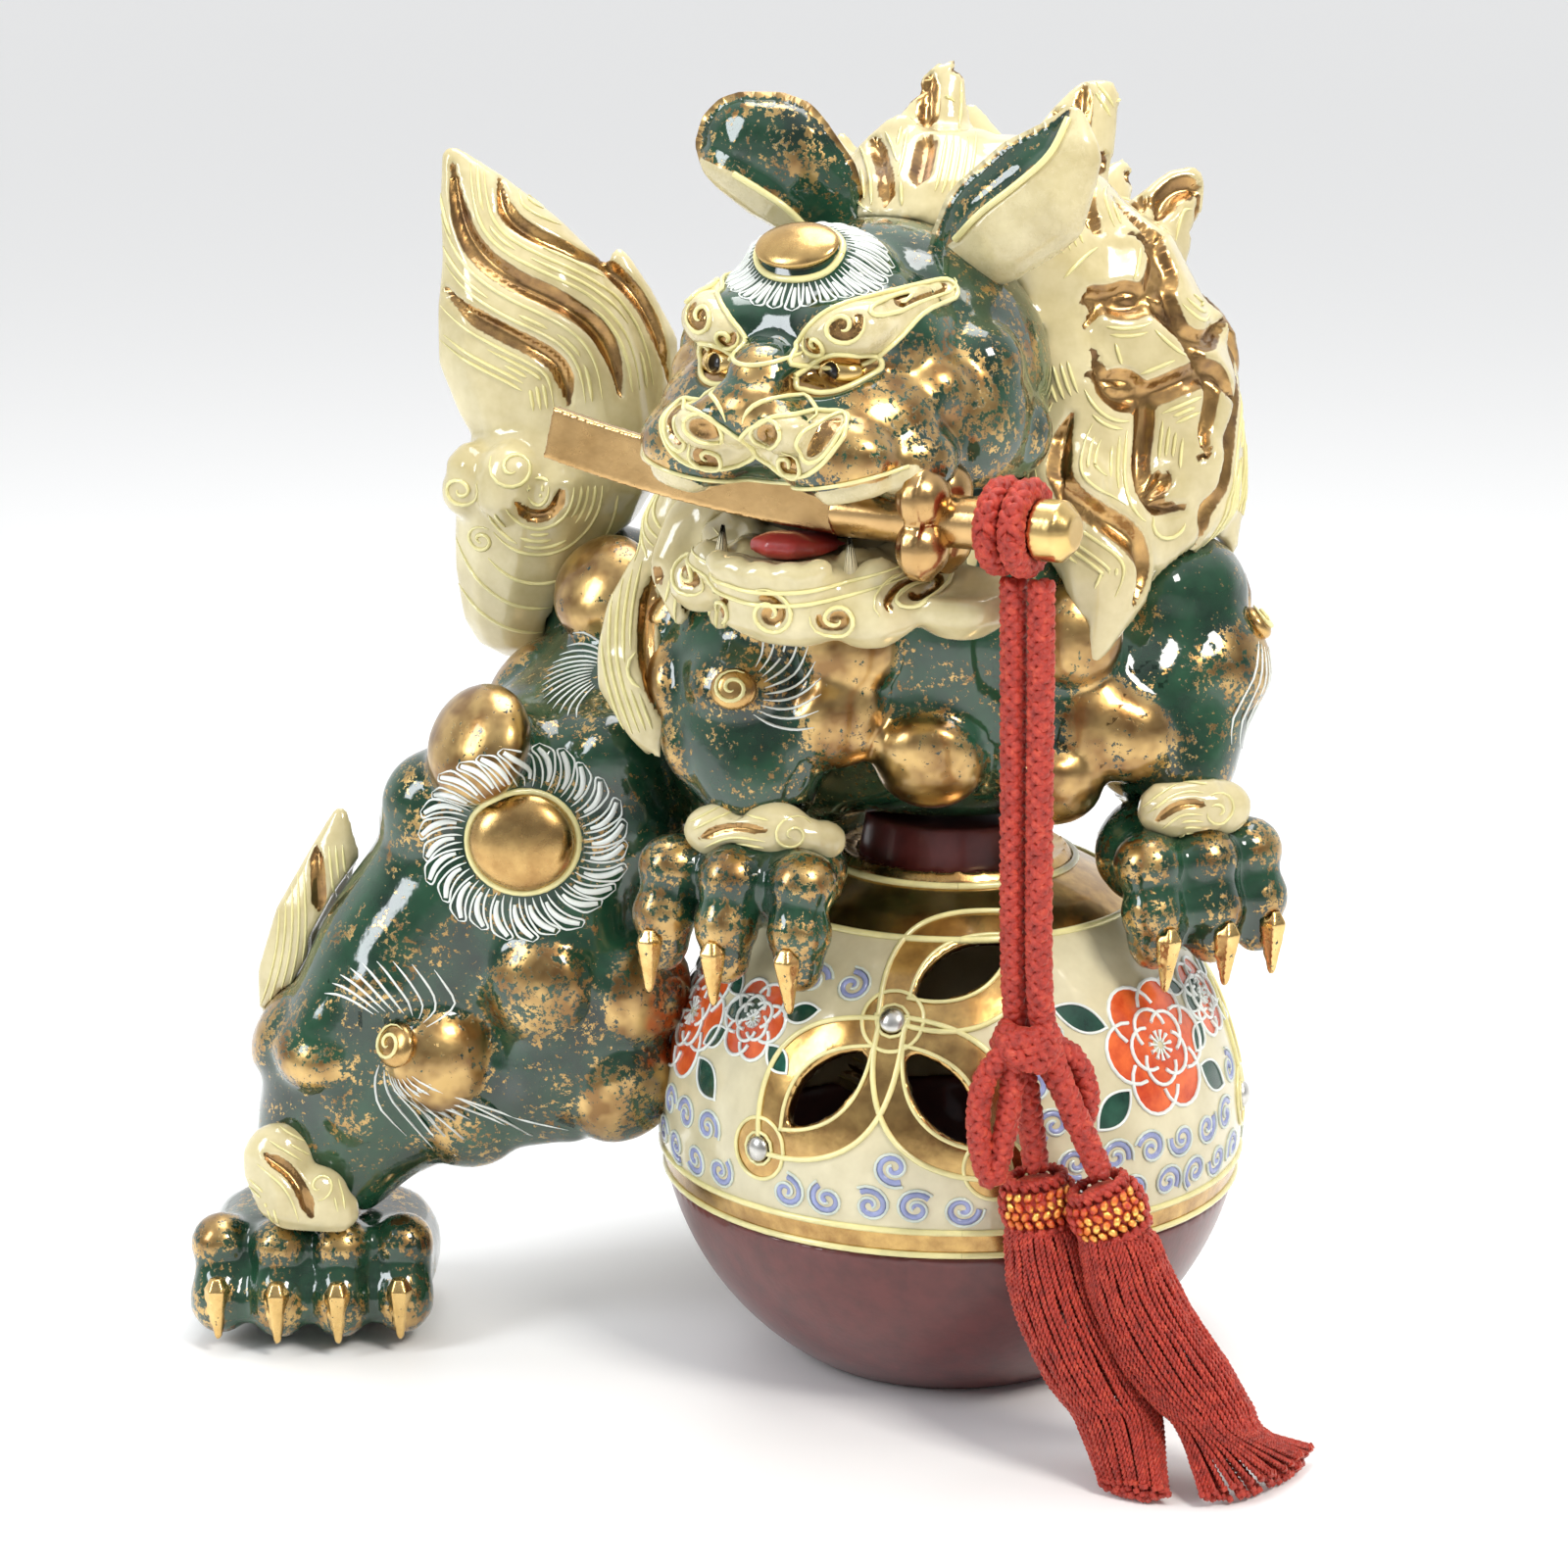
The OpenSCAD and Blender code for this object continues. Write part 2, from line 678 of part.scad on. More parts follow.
module ear_right() {
    color(glaze_green) difference() {
        ear_form([[-15, 14, 35, 8], [-23, 12, 49, 12], [-33, 8, 58, 9.5], [-41, 4, 52, 6]]);
        skull_form();
        mane_back_form();
        mane_crest_form();
    }
}

module ear_left() {
    color(glaze_cream) difference() {
        ear_form([[22, 6, 33, 8], [31, 7, 38, 12], [42, 10, 48, 11], [44, 11, 60, 3.5]]);
        skull_form();
        mane_back_form();
        mane_crest_form();
    }
}

// ---------------------------------------------------------------- mane
module mane_back_form(shrink = 0) {
    chain([[-4, 4, head_at[2] + 20, 38], [-12, 18, head_at[2] + 2, 40], [-20, 24, head_at[2] - 26, 36]], shrink);
    chain([[10, 2, head_at[2] + 22, 34], [24, 8, head_at[2] + 2, 38], [22, 12, head_at[2] - 28, 36]], shrink);
    if (shrink == 0) {
        lock([[-36, 34, head_at[2] + 14, 14], [-50, 40, head_at[2] - 10, 14], [-52, 48, head_at[2] - 36, 10], [-58, 58, head_at[2] - 56, 4]]);
        lock([[-4, 44, head_at[2] + 14, 16], [-10, 56, head_at[2] - 12, 14], [-6, 62, head_at[2] - 40, 10], [-14, 68, head_at[2] - 62, 4]]);
        lock([[26, 38, head_at[2] + 10, 15], [34, 42, head_at[2] - 16, 14], [28, 50, head_at[2] - 42, 10], [34, 52, head_at[2] - 60, 4]]);
    }
}

module mane_back() {
    color(glaze_cream) difference() {
        mane_back_form();
        mane_back_form(body_wall + 1);
        skull_form();
        trunk_form();
        jaw_form();
        foreleg_left_form();
        foreleg_right_form();
    }
}

module mane_side_form() {
    chain([[34, -2, head_at[2] + 16, 24], [44, -4, head_at[2] - 8, 25], [46, -4, head_at[2] - 26, 24], [34, -20, head_at[2] - 36, 20]]);
    chain([[16, -14, head_at[2] + 16, 16], [27, -16, head_at[2] - 6, 18], [28, -24, head_at[2] - 30, 16]]);
    lock([[34, -30, head_at[2] - 32, 15], [34, -38, head_at[2] - 46, 11], [30, -41, head_at[2] - 62, 4]], 0.7);
    lock([[56, 0, head_at[2] + 8, 12], [63, 6, head_at[2] - 4, 8]], 0.8);
    lock([[56, 0, head_at[2] - 18, 15], [63, 2, head_at[2] - 30, 9], [64, -2, head_at[2] - 44, 5]], 0.8);
    knobs([[10, -24, head_at[2] + 11, 12], [54, -16, head_at[2] - 22, 13], [25, -34, head_at[2] - 24, 12]]);
}

module mane_side() {
    color(glaze_cream) difference() {
        mane_side_form();
        skull_form();
        trunk_form();
        mane_back_form();
        jaw_form();
        foreleg_left_form();
        in_sword() rotate([0, 90, 0]) translate([0, 0, guard_at - 5]) cylinder(r = guard_d / 2 + 2, h = 60, $fn = 32);
        hilt_way(blade_gap);
    }
}

crest_z = head_at[2] + 38;
module mane_crest_form() {
    lock([[-26, 4, crest_z - 8, 12], [-33, 8, crest_z + 8, 9], [-36, 10, crest_z + 22, 3]], 0.6);
    lock([[-14, 0, crest_z - 4, 13], [-18, 2, crest_z + 10, 9], [-14, 2, crest_z + 18, 5]], 0.6);
    lock([[-2, 8, crest_z - 8, 16], [-8, 12, crest_z + 10, 13], [-5, 14, crest_z + 24, 8], [-2, 15, crest_z + 31, 4.5]], 0.55);
    lock([[20, 8, crest_z - 10, 16], [24, 12, crest_z + 6, 13], [31, 14, crest_z + 20, 9], [35, 15, crest_z + 26, 4.5]], 0.55);
    lock([[38, 6, crest_z - 20, 15], [47, 10, crest_z - 8, 11], [54, 14, crest_z + 2, 7], [57, 15, crest_z + 5, 4]], 0.55);
    lock([[4, 26, crest_z - 10, 15], [8, 32, crest_z + 6, 10], [4, 34, crest_z + 20, 3]], 0.55);
    lock([[-18, 24, crest_z - 14, 13], [-24, 30, crest_z, 9], [-28, 32, crest_z + 13, 3]], 0.55);
    lock([[28, 28, crest_z - 18, 13], [36, 34, crest_z - 4, 9], [42, 38, crest_z + 6, 3]], 0.55);
}

module mane_crest() {
    color(glaze_cream) difference() {
        mane_crest_form();
        skull_form();
        mane_back_form();
        mane_side_form();
    }
}

// Locks between the cheek and the shoulder on the animal's right.
module cheek_locks_form() {
    lock([[-62, -22, head_at[2] - 34, 9], [-68, -26, head_at[2] - 44, 7], [-66, -30, head_at[2] - 56, 3]], 0.8);
    lock([[-54, -30, head_at[2] - 36, 9], [-56, -40, head_at[2] - 44, 7], [-57, -42, head_at[2] - 54, 3]], 0.8);
    lock([[-58, -8, head_at[2] - 26, 12], [-68, -8, head_at[2] - 40, 10]], 0.8);
    knobs([[-60, -14, head_at[2] - 40, 10], [-56, -24, head_at[2] - 30, 9]]);
}

module mane_cheek_locks() {
    color(glaze_cream) difference() {
        cheek_locks_form();
        skull_form();
        jaw_form();
        trunk_form();
        mane_back_form();
        blade_way(blade_gap);
        foreleg_right_form();
    }
}

// The long lock that falls in front of the right shoulder and ends in a curl.
module throat_lock_form() {
    lock([[-72, -8, chest_z + 26, 7], [-78, -14, chest_z + 14, 8], [-77, -20, chest_z + 2, 12], [-72, -26, chest_z - 10, 9], [-68, -32, chest_z - 18, 3]], 0.8);
}

module mane_throat_lock() {
    color(glaze_cream) difference() {
        throat_lock_form();
        trunk_form();
        cheek_locks_form();
        foreleg_right_form();
        thigh_right_form();
        paw_r_form();
    }
}

module beard() {
    color(glaze_cream) difference() {
        in_head() {
            egg([-28, -28, -44], [9, 9, 8], [0, 0, 0], knob_fn);
            egg([2, -42, -46], [20, 9, 8], [0, 0, 0], knob_fn);
            egg([20, -36, -45], [13, 10, 9], [0, 0, 0], knob_fn);
            egg([38, -26, -42], [15, 12, 10], [0, 0, 0], knob_fn);
            egg([0, -28, -44], [27, 16, 7], [0, 0, 0], knob_fn);
        }
        teeth_form();
        skull_form();
        jaw_form();
        trunk_form();
        mane_back_form();
        mane_side_form();
        cheek_locks_form();
        foreleg_right_form();
        foreleg_left_form();
        mouth_space();
        in_sword() rotate([0, 90, 0]) translate([0, 0, guard_at - 5]) cylinder(r = guard_d / 2 + 2, h = 60, $fn = 32);
    }
}

// ---------------------------------------------------------------- tufts, discs and tail
module wrist_tufts() {
    color(glaze_cream) difference() {
        union() {
            chain([[-60, -44, paw_r_at[2] + 17, 6], [-48, -49, paw_r_at[2] + 18, 6], [-36, -49, paw_r_at[2] + 16, 5]], 0, knob_fn);
            chain([[48, -40, paw_l_at[2] + 20, 6.5], [58, -38, paw_l_at[2] + 20, 7.5], [66, -30, paw_l_at[2] + 18, 5]], 0, knob_fn);
        }
        trunk_form();
        foreleg_right_form();
        foreleg_left_form();
        paw_r_form();
        paw_l_form();
    }
}

module disc_form() {
    translate([hip_right[0] - 5, hip_right[1] - haunch_r + 1.5, hip_right[2] + 1]) rotate([90, 0, -6])
        scale([1, 0.94, 0.26]) sphere(r = disc_d / 2, $fn = 20);
}

module haunch_disc() {
    color(glaze_gold) difference() {
        hull() disc_form();
        thigh_right_form();
    }
}

module whorls() {
    color(glaze_gold) difference() {
        union() {
            egg([-138, -21, 84], [7, 4, 8], [0, 0, -10], knob_fn);
            egg([-54, -48, chest_z + 3], [8, 4, 7], [0, 0, -10], knob_fn);
            egg([-88, 0, chest_z + 4], [6, 6, 6], [0, 0, 0], knob_fn);
            egg([72, -13, chest_z + 11], [5, 6, 7], [0, 0, 30], knob_fn);
            egg([-20, 100, 130], [7, 5, 8], [0, 0, 0], knob_fn);
        }
        trunk_form();
        thigh_right_form();
        shin_right_form();
        foreleg_right_form();
        foreleg_left_form();
        hip_left_form();
        throat_lock_form();
    }
}

module hock_flame() {
    color(glaze_cream) difference() {
        union() {
            lock([[-stride - 6, 12, 74, 9], [-stride - 6, 12, 90, 9], [-stride, 12, 106, 10], [-stride + 6, 13, 120, 8], [-stride + 8, 15, 133, 2.5]], 0.6);
            lock([[-16, 104, 66, 9], [-12, 106, 84, 9], [-18, 106, 104, 6], [-16, 108, 116, 2.5]], 0.6);
        }
        thigh_right_form();
        shin_right_form();
        hip_left_form();
        shin_left_form();
    }
}

module ankle_tufts() {
    color(glaze_cream) difference() {
        union() {
            chain([[-stride - 8, -9, 50, 9], [-stride - 4, -13, 42, 9], [-stride + 8, -13, 38, 6]], 0, knob_fn);
            chain([[-28, 68, 48, 8], [-20, 66, 44, 8], [-12, 70, 40, 5]], 0, knob_fn);
        }
        shin_right_form();
        shin_left_form();
        translate(foot_right_at) foot_form(foot_w, foot_deep, foot_h, 4);
        translate(foot_left_at) foot_form(foot_w - 6, foot_deep, foot_h, 4);
        ball_space();
    }
}

tail_top = rump[2] + tail_rise;
tail_root_beads = [[-84, 58, rump_top - 2, 20], [-96, 60, rump_top + 14, 18]];

module tail_root_form() {
    chain(tail_root_beads);
    chain([[-84, 58, rump_top - 2, 20], [-90, 64, rump_top + 8, 18]]);
}

module tail_root() {
    color(glaze_cream) difference() {
        tail_root_form();
        trunk_form();
        thigh_right_form();
        hip_left_form();
        mane_back_form();
        throat_lock_form();
    }
}

module tail_bowl_form(shrink = 0) {
    chain([[-111, 56, tail_top - 116, 15], [-108, 56, tail_top - 102, 20], [-105, 55, tail_top - 86, 22.5]], shrink);
    chain([[-105, 55, tail_top - 88, 22], [-94, 56, tail_top - 80, 20]], shrink);
    if (shrink == 0) knobs([[-112, 38, tail_top - 84, 9], [-121, 44, tail_top - 80, 8], [-99, 38, tail_top - 84, 8], [-103, 74, tail_top - 84, 10]]);
}

module tail_bowl() {
    color(glaze_cream) difference() {
        tail_bowl_form();
        tail_root_form();
        trunk_form();
        thigh_right_form();
        mane_back_form();
        tail_bowl_form(body_wall);
    }
}

module plume_form() {
    lock([[-94, 54, tail_top - 74, 20], [-101, 57, tail_top - 60, 26], [-106, 58, tail_top - 47, 26],
          [-112, 60, tail_top - 30, 18], [-120, 60, tail_top - 14, 10], [-126, 60, tail_top - 2, 3]], 0.7, 0, form_fn);
}

module tail_plume() {
    color(glaze_cream) difference() {
        plume_form();
        tail_bowl_form();
        tail_root_form();
        trunk_form();
        mane_back_form();
    }
}

module side_flame_form() {
    lock([[-82, 60, tail_top - 66, 14], [-79, 60, tail_top - 52, 11], [-82, 60, tail_top - 38, 7], [-84, 60, tail_top - 27, 2.5]], 0.8);
}

module tail_side_flame() {
    color(glaze_cream) difference() {
        side_flame_form();
        plume_form();
        tail_bowl_form();
        tail_root_form();
        trunk_form();
        mane_back_form();
    }
}

// ---------------------------------------------------------------- sword
module sword_blade() {
    color(glaze_gold) in_sword() difference() {
        blade_arc(-blade_reach, ferrule_from, 0);
        // The tip is cut to a slant.
        translate([-blade_reach, 0, blade_rise(-blade_reach) + blade_w / 2]) rotate([0, 38, 0])
            translate([-20, -5, -40]) cube([20, 10, 60]);
        rotate([0, 90, 0]) translate([0, 0, ferrule_from]) cylinder(r = grip_d / 2, h = grip_d, $fn = 48);
    }
}

module sword_ferrule() {
    color(glaze_gold) in_sword() rotate([0, 90, 0]) translate([0, 0, ferrule_from])
        cylinder(r = grip_d / 2, h = guard_at - guard_t / 2 - ferrule_from, $fn = 48);
}

module sword_guard() {
    lobe = guard_d / 4;
    color(glaze_gold) in_sword() rotate([0, 90, 0]) translate([0, 0, guard_at - guard_t / 2]) union() {
        cylinder(r = guard_d / 2 - lobe * 0.6, h = guard_t, $fn = 48);
        for (a = [45 : 90 : 315]) rotate([0, 0, a]) translate([guard_d / 2 - lobe, 0, 0]) cylinder(r = lobe, h = guard_t, $fn = 48);
    }
}

module sword_grip() {
    color(glaze_gold) in_sword() rotate([0, 90, 0]) {
        translate([0, 0, guard_at + guard_t / 2]) cylinder(r = grip_d / 2, h = neck_from - guard_at - guard_t / 2, $fn = 48);
        translate([0, 0, neck_from]) cylinder(r = grip_d / 2 - 1, h = neck_l, $fn = 48);
    }
}

module sword_pommel() {
    color(glaze_gold) in_sword() rotate([0, 90, 0]) translate([0, 0, neck_from + neck_l]) {
        cylinder(r = grip_d / 2 + 1, h = pommel_l - 3, $fn = 48);
        translate([0, 0, pommel_l - 3]) cylinder(r1 = grip_d / 2 + 1, r2 = grip_d / 2 - 2, h = 3, $fn = 48);
    }
}

// ---------------------------------------------------------------- cord and tassels
module cord_hitch() {
    color(silk_red) in_sword() rotate([0, 90, 0]) for (side = [-1, 1])
        translate([0, 0, hitch_at + side * hitch_gap / 2])
            rotate_extrude($fn = 64) translate([hitch_major, 0]) circle(r = hitch_minor, $fn = 32);
}

// Routes hang from the hinge point under the hitch; steps are [right, forward, down].
front_route = [[6, 1.6, -4], [6.3, 1.6, -30], [6.4, 1.6, -55], [6.6, 1.6, -80], [7, 1.2, -96], [8, 0.4, -106],
               [11, 0.4, -117], [15, 0.6, -127], [19, 0.8, -136], [22, 1, -143]];
back_route = [[0, -1.6, -4], [0.4, -1.6, -30], [0.7, -1.6, -55], [1, -1.6, -80], [1.4, -2, -96], [2.2, -3.4, -106],
              [3.6, -4.6, -117], [5.2, -5.6, -127], [6.6, -6.4, -137], [7.4, -6.6, -144]];

function place(step) = hang_at + [step[0], -step[1], step[2]];

function unit(v) = v / norm(v);
function run(route, i) = unit(route[min(i + 1, len(route) - 1)] - route[max(i - 1, 0)]);

module tube(route, d) {
    sides = 8;
    count = len(route);
    rings = [for (i = [0 : count - 1])
        let (t = run(route, i), u = unit(cross(t, [0, 1, 0.001])), v = cross(t, u))
        for (k = [0 : sides - 1]) route[i] + d / 2 * (cos(360 * k / sides) * u + sin(360 * k / sides) * v)];
    polyhedron(rings, concat(
        [[for (k = [0 : sides - 1]) k]],
        [for (i = [0 : count - 2], k = [0 : sides - 1]) [
            i * sides + k, (i + 1) * sides + k, (i + 1) * sides + (k + 1) % sides, i * sides + (k + 1) % sides]],
        [[for (k = [sides - 1 : -1 : 0]) (count - 1) * sides + k]]
    ));
}

module cord_strand_front() {
    color(silk_red) tube([for (s = front_route) place(s)], cord_d);
}

module cord_strand_back() {
    color(silk_red) tube([for (s = back_route) place(s)], cord_d);
}

// A bow knot gathered round both strands, with a loop hanging on each side.
module cord_knot() {
    color(silk_red) difference() {
        union() {
            egg(place([4.6, -1, -112]), [8.5, 9, 7], [0, 0, 0], knob_fn);
            bow([[0, 2, -112], [-5.5, 3, -120], [-6.5, 3.5, -132], [-3.5, 3.5, -143], [-0.5, 3, -132], [1, 2, -120]]);
            bow([[9, -2, -111], [16, -4, -117], [19, -5, -126], [17, -5, -133], [14, -5, -126], [10, -4, -118]]);
        }
        tube([for (s = front_route) place(s)], cord_d + 0.05);
        tube([for (s = back_route) place(s)], cord_d + 0.05);
        tassel_front_form();
        tassel_back_form();
    }
}

module bow(steps) {
    for (i = [0 : len(steps) - 2]) hull() for (s = [steps[i], steps[i + 1]])
        translate(place(s)) sphere(r = cord_d / 2 - 0.2, $fn = claw_fn);
}

module tassel_head(at, lean, turn) {
    translate(at) rotate([0, 0, turn]) rotate([0, lean, 0]) scale([1, 0.85, 0.72]) hull() sphere(r = tassel_head_d / 2, $fn = form_fn);
}

front_head_at = place([23.5, 1.2, -151]);
back_head_at = place([8.2, -6.8, -152]);
front_skirt = [[26, 1.5, -158, 9.5], [31, 3, -173, 12], [40, 6, -189, 14], [50, 10, -202, 11]];
back_skirt = [[9.5, -6.6, -159, 9.5], [13, -4.5, -174, 12], [20, 0, -190, 13], [27, 5, -202, 11]];

module skirt_form(points, hem, spread) {
    chain([for (s = points) concat(place(s), [s[3]])]);
    hull() {
        last = points[len(points) - 1];
        translate(place(last)) sphere(r = last[3] - 1, $fn = form_fn);
        for (s = hem) translate([place(s)[0], place(s)[1], spread]) sphere(r = spread, $fn = knob_fn);
    }
}

module tassel_front_form() { tassel_head(front_head_at, -24, 0); }
module tassel_back_form() { tassel_head(back_head_at, -8, 0); }

front_hem = [[44, 20, 0], [57, 15, 0], [68, 3, 0], [73, -8, 0]];
back_hem = [[22, 11, 0], [30, 16, 0], [38, 18, 0]];

module above_floor() {
    translate([-300, -300, 0]) cube([600, 600, 400]);
}

module tassel_head_front() {
    color(silk_red) difference() {
        tassel_front_form();
        tube([for (s = front_route) place(s)], cord_d + 0.05);
        tassel_back_form();
    }
}

module tassel_head_back() {
    color(silk_red) difference() {
        tassel_back_form();
        tube([for (s = back_route) place(s)], cord_d + 0.05);
    }
}

module tassel_skirt_front() {
    color(silk_red) difference() {
        intersection() {
            skirt_form(front_skirt, front_hem, 5);
            above_floor();
        }
        tassel_front_form();
        tassel_back_form();
        ball_space();
    }
}

module tassel_skirt_back() {
    color(silk_red) difference() {
        intersection() {
            skirt_form(back_skirt, back_hem, 5);
            above_floor();
        }
        tassel_front_form();
        tassel_back_form();
        skirt_form(front_skirt, front_hem, 5);
        ball_space();
    }
}

ball_bowl();
ball_cover();
ball_collar();
ball_crown();
ball_bosses();
torso();
head();
lower_jaw();
tongue();
teeth();
brow_disc();
eyes();
ear_right();
ear_left();
mane_back();
mane_side();
mane_crest();
mane_cheek_locks();
mane_throat_lock();
beard();
foreleg_right();
foreleg_left();
forepaw_right();
forepaw_left();
forepaw_claws();
wrist_tufts();
thigh_right();
shin_right();
hindfoot_right();
thigh_left();
shin_left();
hindfoot_left();
hindfoot_claws();
haunch_disc();
whorls();
hock_flame();
ankle_tufts();
tail_root();
tail_bowl();
tail_plume();
tail_side_flame();
sword_blade();
sword_ferrule();
sword_guard();
sword_grip();
sword_pommel();
cord_hitch();
cord_strand_front();
cord_strand_back();
cord_knot();
tassel_head_front();
tassel_head_back();
tassel_skirt_front();
tassel_skirt_back();
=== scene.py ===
import math
import random
import bmesh
import bpy
import numpy as np
from mathutils import Matrix, Vector
from mathutils.bvhtree import BVHTree


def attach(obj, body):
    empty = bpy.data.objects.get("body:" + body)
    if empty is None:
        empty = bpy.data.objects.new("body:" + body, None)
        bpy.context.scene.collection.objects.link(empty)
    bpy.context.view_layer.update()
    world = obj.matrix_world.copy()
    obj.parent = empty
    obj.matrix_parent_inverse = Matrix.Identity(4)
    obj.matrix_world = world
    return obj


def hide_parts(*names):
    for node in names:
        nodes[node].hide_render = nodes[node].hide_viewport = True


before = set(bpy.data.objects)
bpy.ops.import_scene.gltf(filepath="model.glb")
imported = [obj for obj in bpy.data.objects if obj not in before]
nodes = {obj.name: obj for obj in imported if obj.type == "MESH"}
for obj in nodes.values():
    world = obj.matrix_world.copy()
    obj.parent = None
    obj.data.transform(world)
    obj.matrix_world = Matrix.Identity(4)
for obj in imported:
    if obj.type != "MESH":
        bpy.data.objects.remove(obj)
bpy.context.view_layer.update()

mm = 0.001
random.seed(7)

print("camera")
cameraSetup = {"target": (-42, 0, 145), "distance": 1000, "tilt": 14, "lens": 92.6}
tilt = math.radians(cameraSetup["tilt"])
lookAlong = Vector((0, math.cos(tilt), -math.sin(tilt)))
frontEye = Vector(cameraSetup["target"]) * mm - lookAlong * cameraSetup["distance"] * mm
cameraData = bpy.data.cameras.new("camera")
cameraData.sensor_width = 36
cameraData.lens = cameraSetup["lens"]
cameraData.clip_start = 0.05
camera = bpy.data.objects.new("camera", cameraData)
camera.location = frontEye
camera.rotation_euler = (math.pi / 2 - tilt, 0, 0)
bpy.context.scene.collection.objects.link(camera)
bpy.context.scene.camera = camera


def v3(x, y, z):
    return Vector((x, y, z)) * mm


def addNode(tree, kind, inputs=None, **settings):
    made = tree.nodes.new("ShaderNode" + kind)
    for key, value in settings.items():
        setattr(made, key, value)
    for key, value in (inputs or {}).items():
        if isinstance(value, bpy.types.NodeSocket):
            tree.links.new(value, made.inputs[key])
        else:
            made.inputs[key].default_value = value
    return made


def newMaterial(name, color, roughness=0.3, metallic=0.0, **more):
    material = bpy.data.materials.new(name)
    material.use_nodes = True
    tree = material.node_tree
    shader = tree.nodes["Principled BSDF"]
    shader.inputs["Base Color"].default_value = (*color, 1)
    shader.inputs["Roughness"].default_value = roughness
    shader.inputs["Metallic"].default_value = metallic
    for key, value in more.items():
        shader.inputs[key.replace("_", " ")].default_value = value
    return material, tree, shader


def ramp(tree, source, stops):
    made = tree.nodes.new("ShaderNodeValToRGB")
    elements = made.color_ramp.elements
    while len(elements) > 1:
        elements.remove(elements[-1])
    for i, (place, value) in enumerate(stops):
        element = elements[0] if i == 0 else elements.new(place)
        element.position = place
        element.color = (*value, 1) if isinstance(value, tuple) else (value, value, value, 1)
    tree.links.new(source, made.inputs[0])
    return made.outputs[0]


def mixColor(tree, factor, a, b):
    made = tree.nodes.new("ShaderNodeMix")
    made.data_type = "RGBA"
    for socket, value in ((made.inputs[0], factor), (made.inputs[6], a), (made.inputs[7], b)):
        if isinstance(value, bpy.types.NodeSocket):
            tree.links.new(value, socket)
        else:
            socket.default_value = value if not isinstance(value, tuple) else (*value, 1)
    return made.outputs[2]


def math2(tree, operation, a, b=0.0, c=0.0):
    made = tree.nodes.new("ShaderNodeMath")
    made.operation = operation
    for socket, value in zip(made.inputs, (a, b, c)):
        if isinstance(value, bpy.types.NodeSocket):
            tree.links.new(value, socket)
        else:
            socket.default_value = value
    return made.outputs[0]


def objectNoise(tree, scale, detail=3.0, rough=0.55, coords=None):
    place = coords or addNode(tree, "TexCoord").outputs["Object"]
    return addNode(tree, "TexNoise", {"Vector": place, "Scale": scale, "Detail": detail,
                                      "Roughness": rough}).outputs["Fac"]


def addBump(tree, shader, height, strength, distance):
    bump = addNode(tree, "Bump", {"Height": height, "Strength": strength, "Distance": distance})
    tree.links.new(bump.outputs[0], shader.inputs["Normal"])


def finishPiece(obj, body, material, replaced=()):
    # A mesh piece that rides on a body, in its material, for the CAD nodes that it stands for.
    obj.data.materials.clear()
    for one in material if isinstance(material, (list, tuple)) else [material]:
        obj.data.materials.append(one)
    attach(obj, body)
    if replaced:
        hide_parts(*replaced)
    return obj


def newObject(name, mesh):
    obj = bpy.data.objects.new(name, mesh)
    bpy.context.scene.collection.objects.link(obj)
    return obj


def meshFromBmesh(name, bm, smooth=True):
    mesh = bpy.data.meshes.new(name)
    bm.to_mesh(mesh)
    bm.free()
    for face in mesh.polygons:
        face.use_smooth = smooth
    return newObject(name, mesh)


def nodeCopy(bm, name):
    # The CAD node's triangles, merged.
    part = bmesh.new()
    part.from_mesh(nodes[name].data)
    bmesh.ops.remove_doubles(part, verts=part.verts, dist=1e-6)
    mesh = bpy.data.meshes.new("copy")
    part.to_mesh(mesh)
    part.free()
    bm.from_mesh(mesh)
    bpy.data.meshes.remove(mesh)


def nodesTogether(names):
    bm = bmesh.new()
    for one in names:
        nodeCopy(bm, one)
    return bm


def facing(direction):
    # A turn that brings Z round to a direction.
    return direction.to_track_quat("Z", "Y").to_matrix().to_4x4()


def addBall(bm, center, radii, turn=None, detail=3):
    matrix = Matrix.Translation(center)
    if turn is not None:
        matrix = matrix @ turn
    scale = radii if isinstance(radii, (tuple, list)) else (radii, radii, radii)
    matrix = matrix @ Matrix.Diagonal((*[s * mm for s in scale], 1))
    bmesh.ops.create_icosphere(bm, subdivisions=detail, radius=1, matrix=matrix)


def baked(obj, modifiers):
    # obj's mesh with these modifiers worked in: (kind, settings).
    for kind, settings in modifiers:
        mod = obj.modifiers.new(kind, kind)
        for key, value in settings.items():
            setattr(mod, key, value)
    graph = bpy.context.evaluated_depsgraph_get()
    mesh = bpy.data.meshes.new_from_object(obj.evaluated_get(graph))
    obj.modifiers.clear()
    old = obj.data
    obj.data = mesh
    bpy.data.meshes.remove(old)
    for face in mesh.polygons:
        face.use_smooth = True
    return obj


def blended(obj, voxel, rounds, strength=0.5):
    return baked(obj, [("REMESH", {"mode": "VOXEL", "voxel_size": voxel * mm, "use_smooth_shade": True}),
                       ("SMOOTH", {"factor": strength, "iterations": rounds})])


def treeOf(obj):
    mesh = obj.data
    return BVHTree.FromPolygons([v.co for v in mesh.vertices], [p.vertices for p in mesh.polygons])


def seenFrom(eye, point, tree, lift=0.0):
    # Where the line from the eye through the point meets the surface.
    direction = (point - eye).normalized()
    place, normal, index, distance = tree.ray_cast(eye, direction)
    if place is None:
        place, normal, index, distance = tree.find_nearest(point)
    if normal.dot(direction) > 0:
        normal = -normal
    return place + normal * lift * mm, normal


